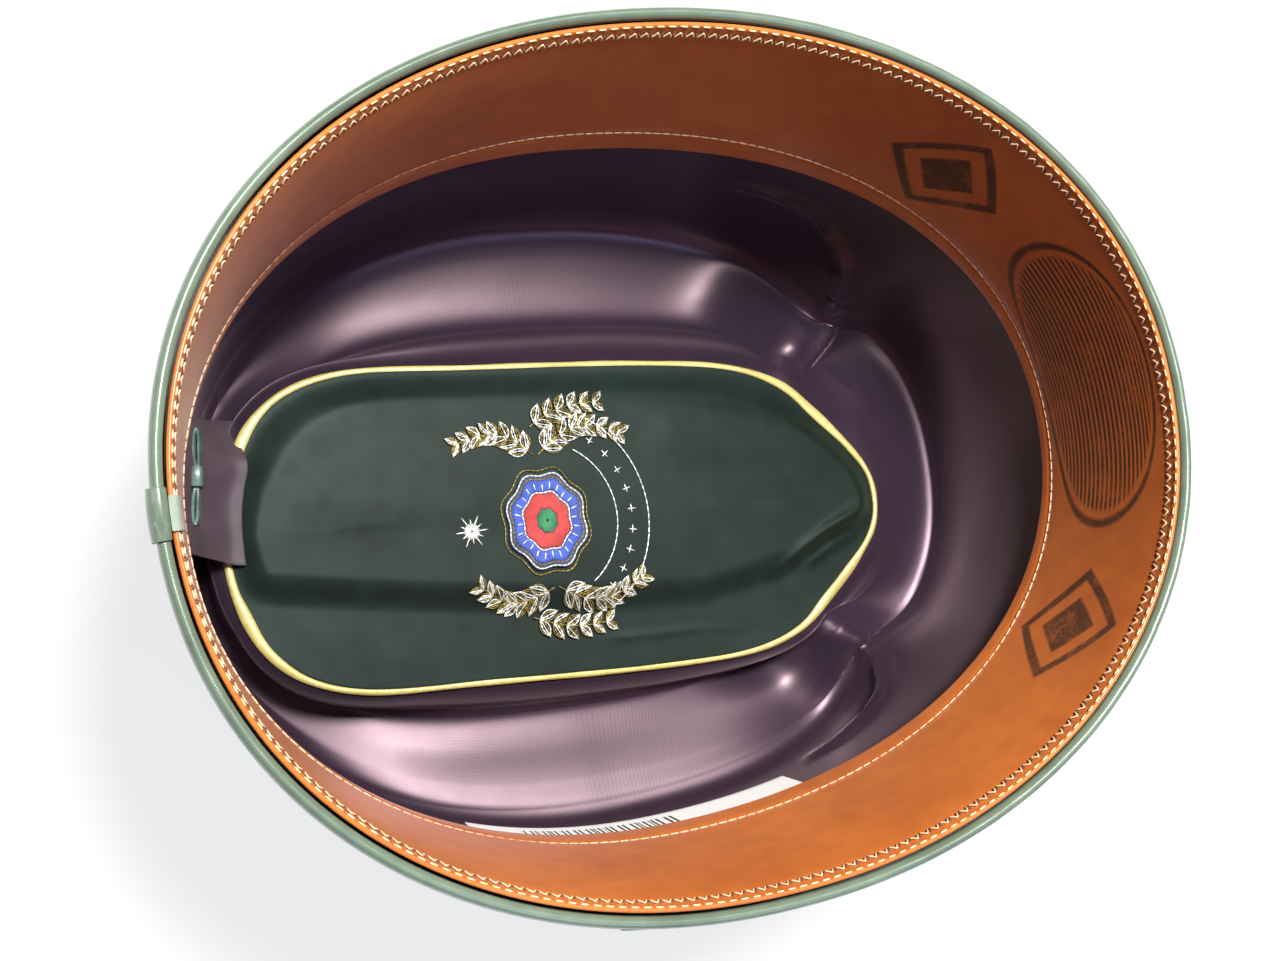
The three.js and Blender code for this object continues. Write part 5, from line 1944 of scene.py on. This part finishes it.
    def arcs(self) -> list[Matrix]:
        """Finds the dashed arcs forward of the medallion, with small crosses between them.

        Returns:
            Places of the stitches.
        """
        made, low = [], self.thread * 0.6
        angles = np.radians(np.linspace(-self.arc_reach, self.arc_reach, 40))
        for reach in self.arc_shares:
            made += self.path(self.around(angles, reach * self.arc_stretch, reach), low, self.dash)
        for angle in np.radians(np.linspace(-self.cross_reach, self.cross_reach, self.crosses)):
            spot = self.around(angle, *self.cross_shares)
            for way in (angle, angle + HALF_TURN / 2):
                reach = np.array([math.cos(way), math.sin(way)]) * self.dot
                made += self.path(np.stack([spot - reach, spot + reach]), low, self.long_stitch)
        return made

    def build(self) -> list[Shape]:
        """Builds the patch and its embroidery.

        Returns:
            The pieces.
        """
        cord, angle = self.patch_lift + self.patch_thickness, np.linspace(0.0, FULL_TURN, 129)
        gold, silver = self.sprays()
        silver += self.arcs()
        for stock, share, lift in (
            (silver, 0.97, cord), (silver, 0.6, cord), (gold, 0.89, cord), (gold, 1.09, self.thread)
        ):
            stock += self.path(self.outline(angle, share), lift, self.stitch)
        silver += self.ring(0.64, 0.8, 24)
        star = Vector(self.on(np.array(self.star), self.thread))
        for k, way in enumerate(even_turns(24)):
            ray = Vector((math.cos(way), math.sin(way), 0.0)) * self.star_rays[k % 4]
            silver.append(span(star + ray * 0.1, star + ray))
        made = [self.patch()]
        for name, places, finish, share in (
            ("rosette_red", self.ring(0.26, 0.58, 96), RED_PATCH, 0.9),
            ("rosette_blue", self.ring(0.62, 0.86, 150), BLUE_PATCH, 0.85),
            ("rosette_green", self.ring(0.03, 0.25, 30), GREEN_PATCH, 1.0),
            ("rosette_gold", gold, GOLD_THREAD, 0.8),
            ("rosette_silver", silver, SILVER_THREAD, 0.95),
        ):
            made.append(finish.dress(Bench.sew(name, self.thread * share, places), "rosette"))
        return made


@dataclass
class Ticket:
    """The card tucked behind the sweatband."""

    length: float = 0.082
    height: float = 0.030
    thickness: float = 0.0003
    showing: float = 0.012
    forward: float = -0.007

    def build(self) -> list[Shape]:
        """Builds the card, joined to a body of its own.

        Returns:
            The card, in a list.
        """
        ends = np.array([self.forward - self.length / 2, self.forward + self.length / 2])
        turn = np.linspace(*FORM.left_turn(ends, BAND.inset), 60)
        low = BAND.bottom + self.showing
        points = BAND.at(turn, column(low - self.height, low, 24), BAND.behind)
        piece = Bench.sheet("paper_ticket", points, self.thickness, ring=False)
        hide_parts("ticket")
        return [PAPER.dress(piece, "paper", "ticket")]


@dataclass
class Studio:
    """Camera, light and floor."""

    focal_px: float = 1800.0
    image_width_px: float = 1280.0
    sensor_mm: float = 36.0
    camera_at: tuple = (-0.14568, -0.02189, 0.41203)
    camera_degrees: tuple = (7.1206, -22.09044, -10.1085)
    floor_size: float = 6.0
    floor_colour: Rgb = (0.95, 0.95, 0.95)
    floor_glow: float = 0.8
    ambient: float = 0.05
    # name, place, side of the square, watts and colour of each lamp
    lamps: tuple = (
        ("key", (0.03, 0.37, 1.33), 0.3, 40.0, WHITE),
        ("fill", (0.2, -0.75, 0.95), 0.5, 3.6, (0.5, 0.58, 1.0)),
    )
    aim: tuple = (0.0, 0.0, 0.05)

    @staticmethod
    def hang(name: str, data: bpy.types.ID, at: tuple, turn: Euler) -> Shape:
        """Hangs a camera or lamp.

        Args:
            name: Its name.
            data: Its settings.
            at: Its place.
            turn: Its direction.

        Returns:
            The new object.
        """
        thing = bpy.data.objects.new(name, data)
        thing.location, thing.rotation_euler = at, turn
        bpy.context.scene.collection.objects.link(thing)
        return thing

    def camera(self) -> None:
        """Sets up the camera that the photograph was taken with."""
        data = bpy.data.cameras.new("camera")
        data.sensor_width = self.sensor_mm
        data.lens = self.focal_px / self.image_width_px * self.sensor_mm
        data.clip_start = 0.01
        turn = Euler([math.radians(part) for part in self.camera_degrees])
        bpy.context.scene.camera = self.hang("camera", data, self.camera_at, turn)

    def light(self) -> None:
        """Hangs soft square lamps, and lights the scene softly from all round with a white background."""
        for name, at, size, power, colour in self.lamps:
            data = bpy.data.lights.new(name, "AREA")
            data.energy, data.size, data.color = power, size, colour
            self.hang(name, data, at, (Vector(self.aim) - Vector(at)).to_track_quat("-Z", "Y").to_euler())
        world = bpy.data.worlds.new("white studio")
        bpy.context.scene.world = world
        world.use_nodes = True
        nodes, back = Nodes(world.node_tree), world.node_tree.nodes["Background"]
        nodes.join(WHITE, back.inputs[0])
        seen = nodes.new("LightPath").outputs["Is Camera Ray"]
        nodes.join(nodes.ramp(seen, 0.0, 1.0, self.ambient, 1.0), back.inputs[1])
        bpy.context.scene.view_settings.view_transform = "Standard"

    def floor(self) -> None:
        """Lays the pale floor that the crown rests on."""
        Bench.alone()
        bpy.ops.mesh.primitive_plane_add(size=self.floor_size)
        plane = bpy.context.object
        plane.name = "floor"
        maker = Maker("white floor")
        maker.set(Roughness=0.8, Base_Color=self.floor_colour)
        seen = maker.new("LightPath").outputs["Is Camera Ray"]
        glow = maker.new("Emission", in_Strength=1.0)
        share, plain = maker.times(seen, self.floor_glow), maker.shader.outputs[0]
        blend = maker.new("MixShader", in_0=share, in_1=plain, in_2=glow.outputs[0])
        maker.join(blend.outputs[0], maker.tree.nodes["Material Output"].inputs[0])
        plane.data.materials.append(maker.material)

    def build(self) -> list[Shape]:
        """Sets up the whole studio.

        Returns:
            An empty list, because the studio adds no piece to the hat.
        """
        self.camera()
        self.light()
        self.floor()
        return []


def main() -> None:
    """Builds the studio and every sub-assembly."""
    for assembly in (Studio(), Crown(), Welt(), Sweatband(), Lining(), Ticket()):
        for piece in assembly.build():
            LOG.info("%s: %d faces", piece.name, len(piece.data.polygons))


if __name__ == "__main__":
    main()
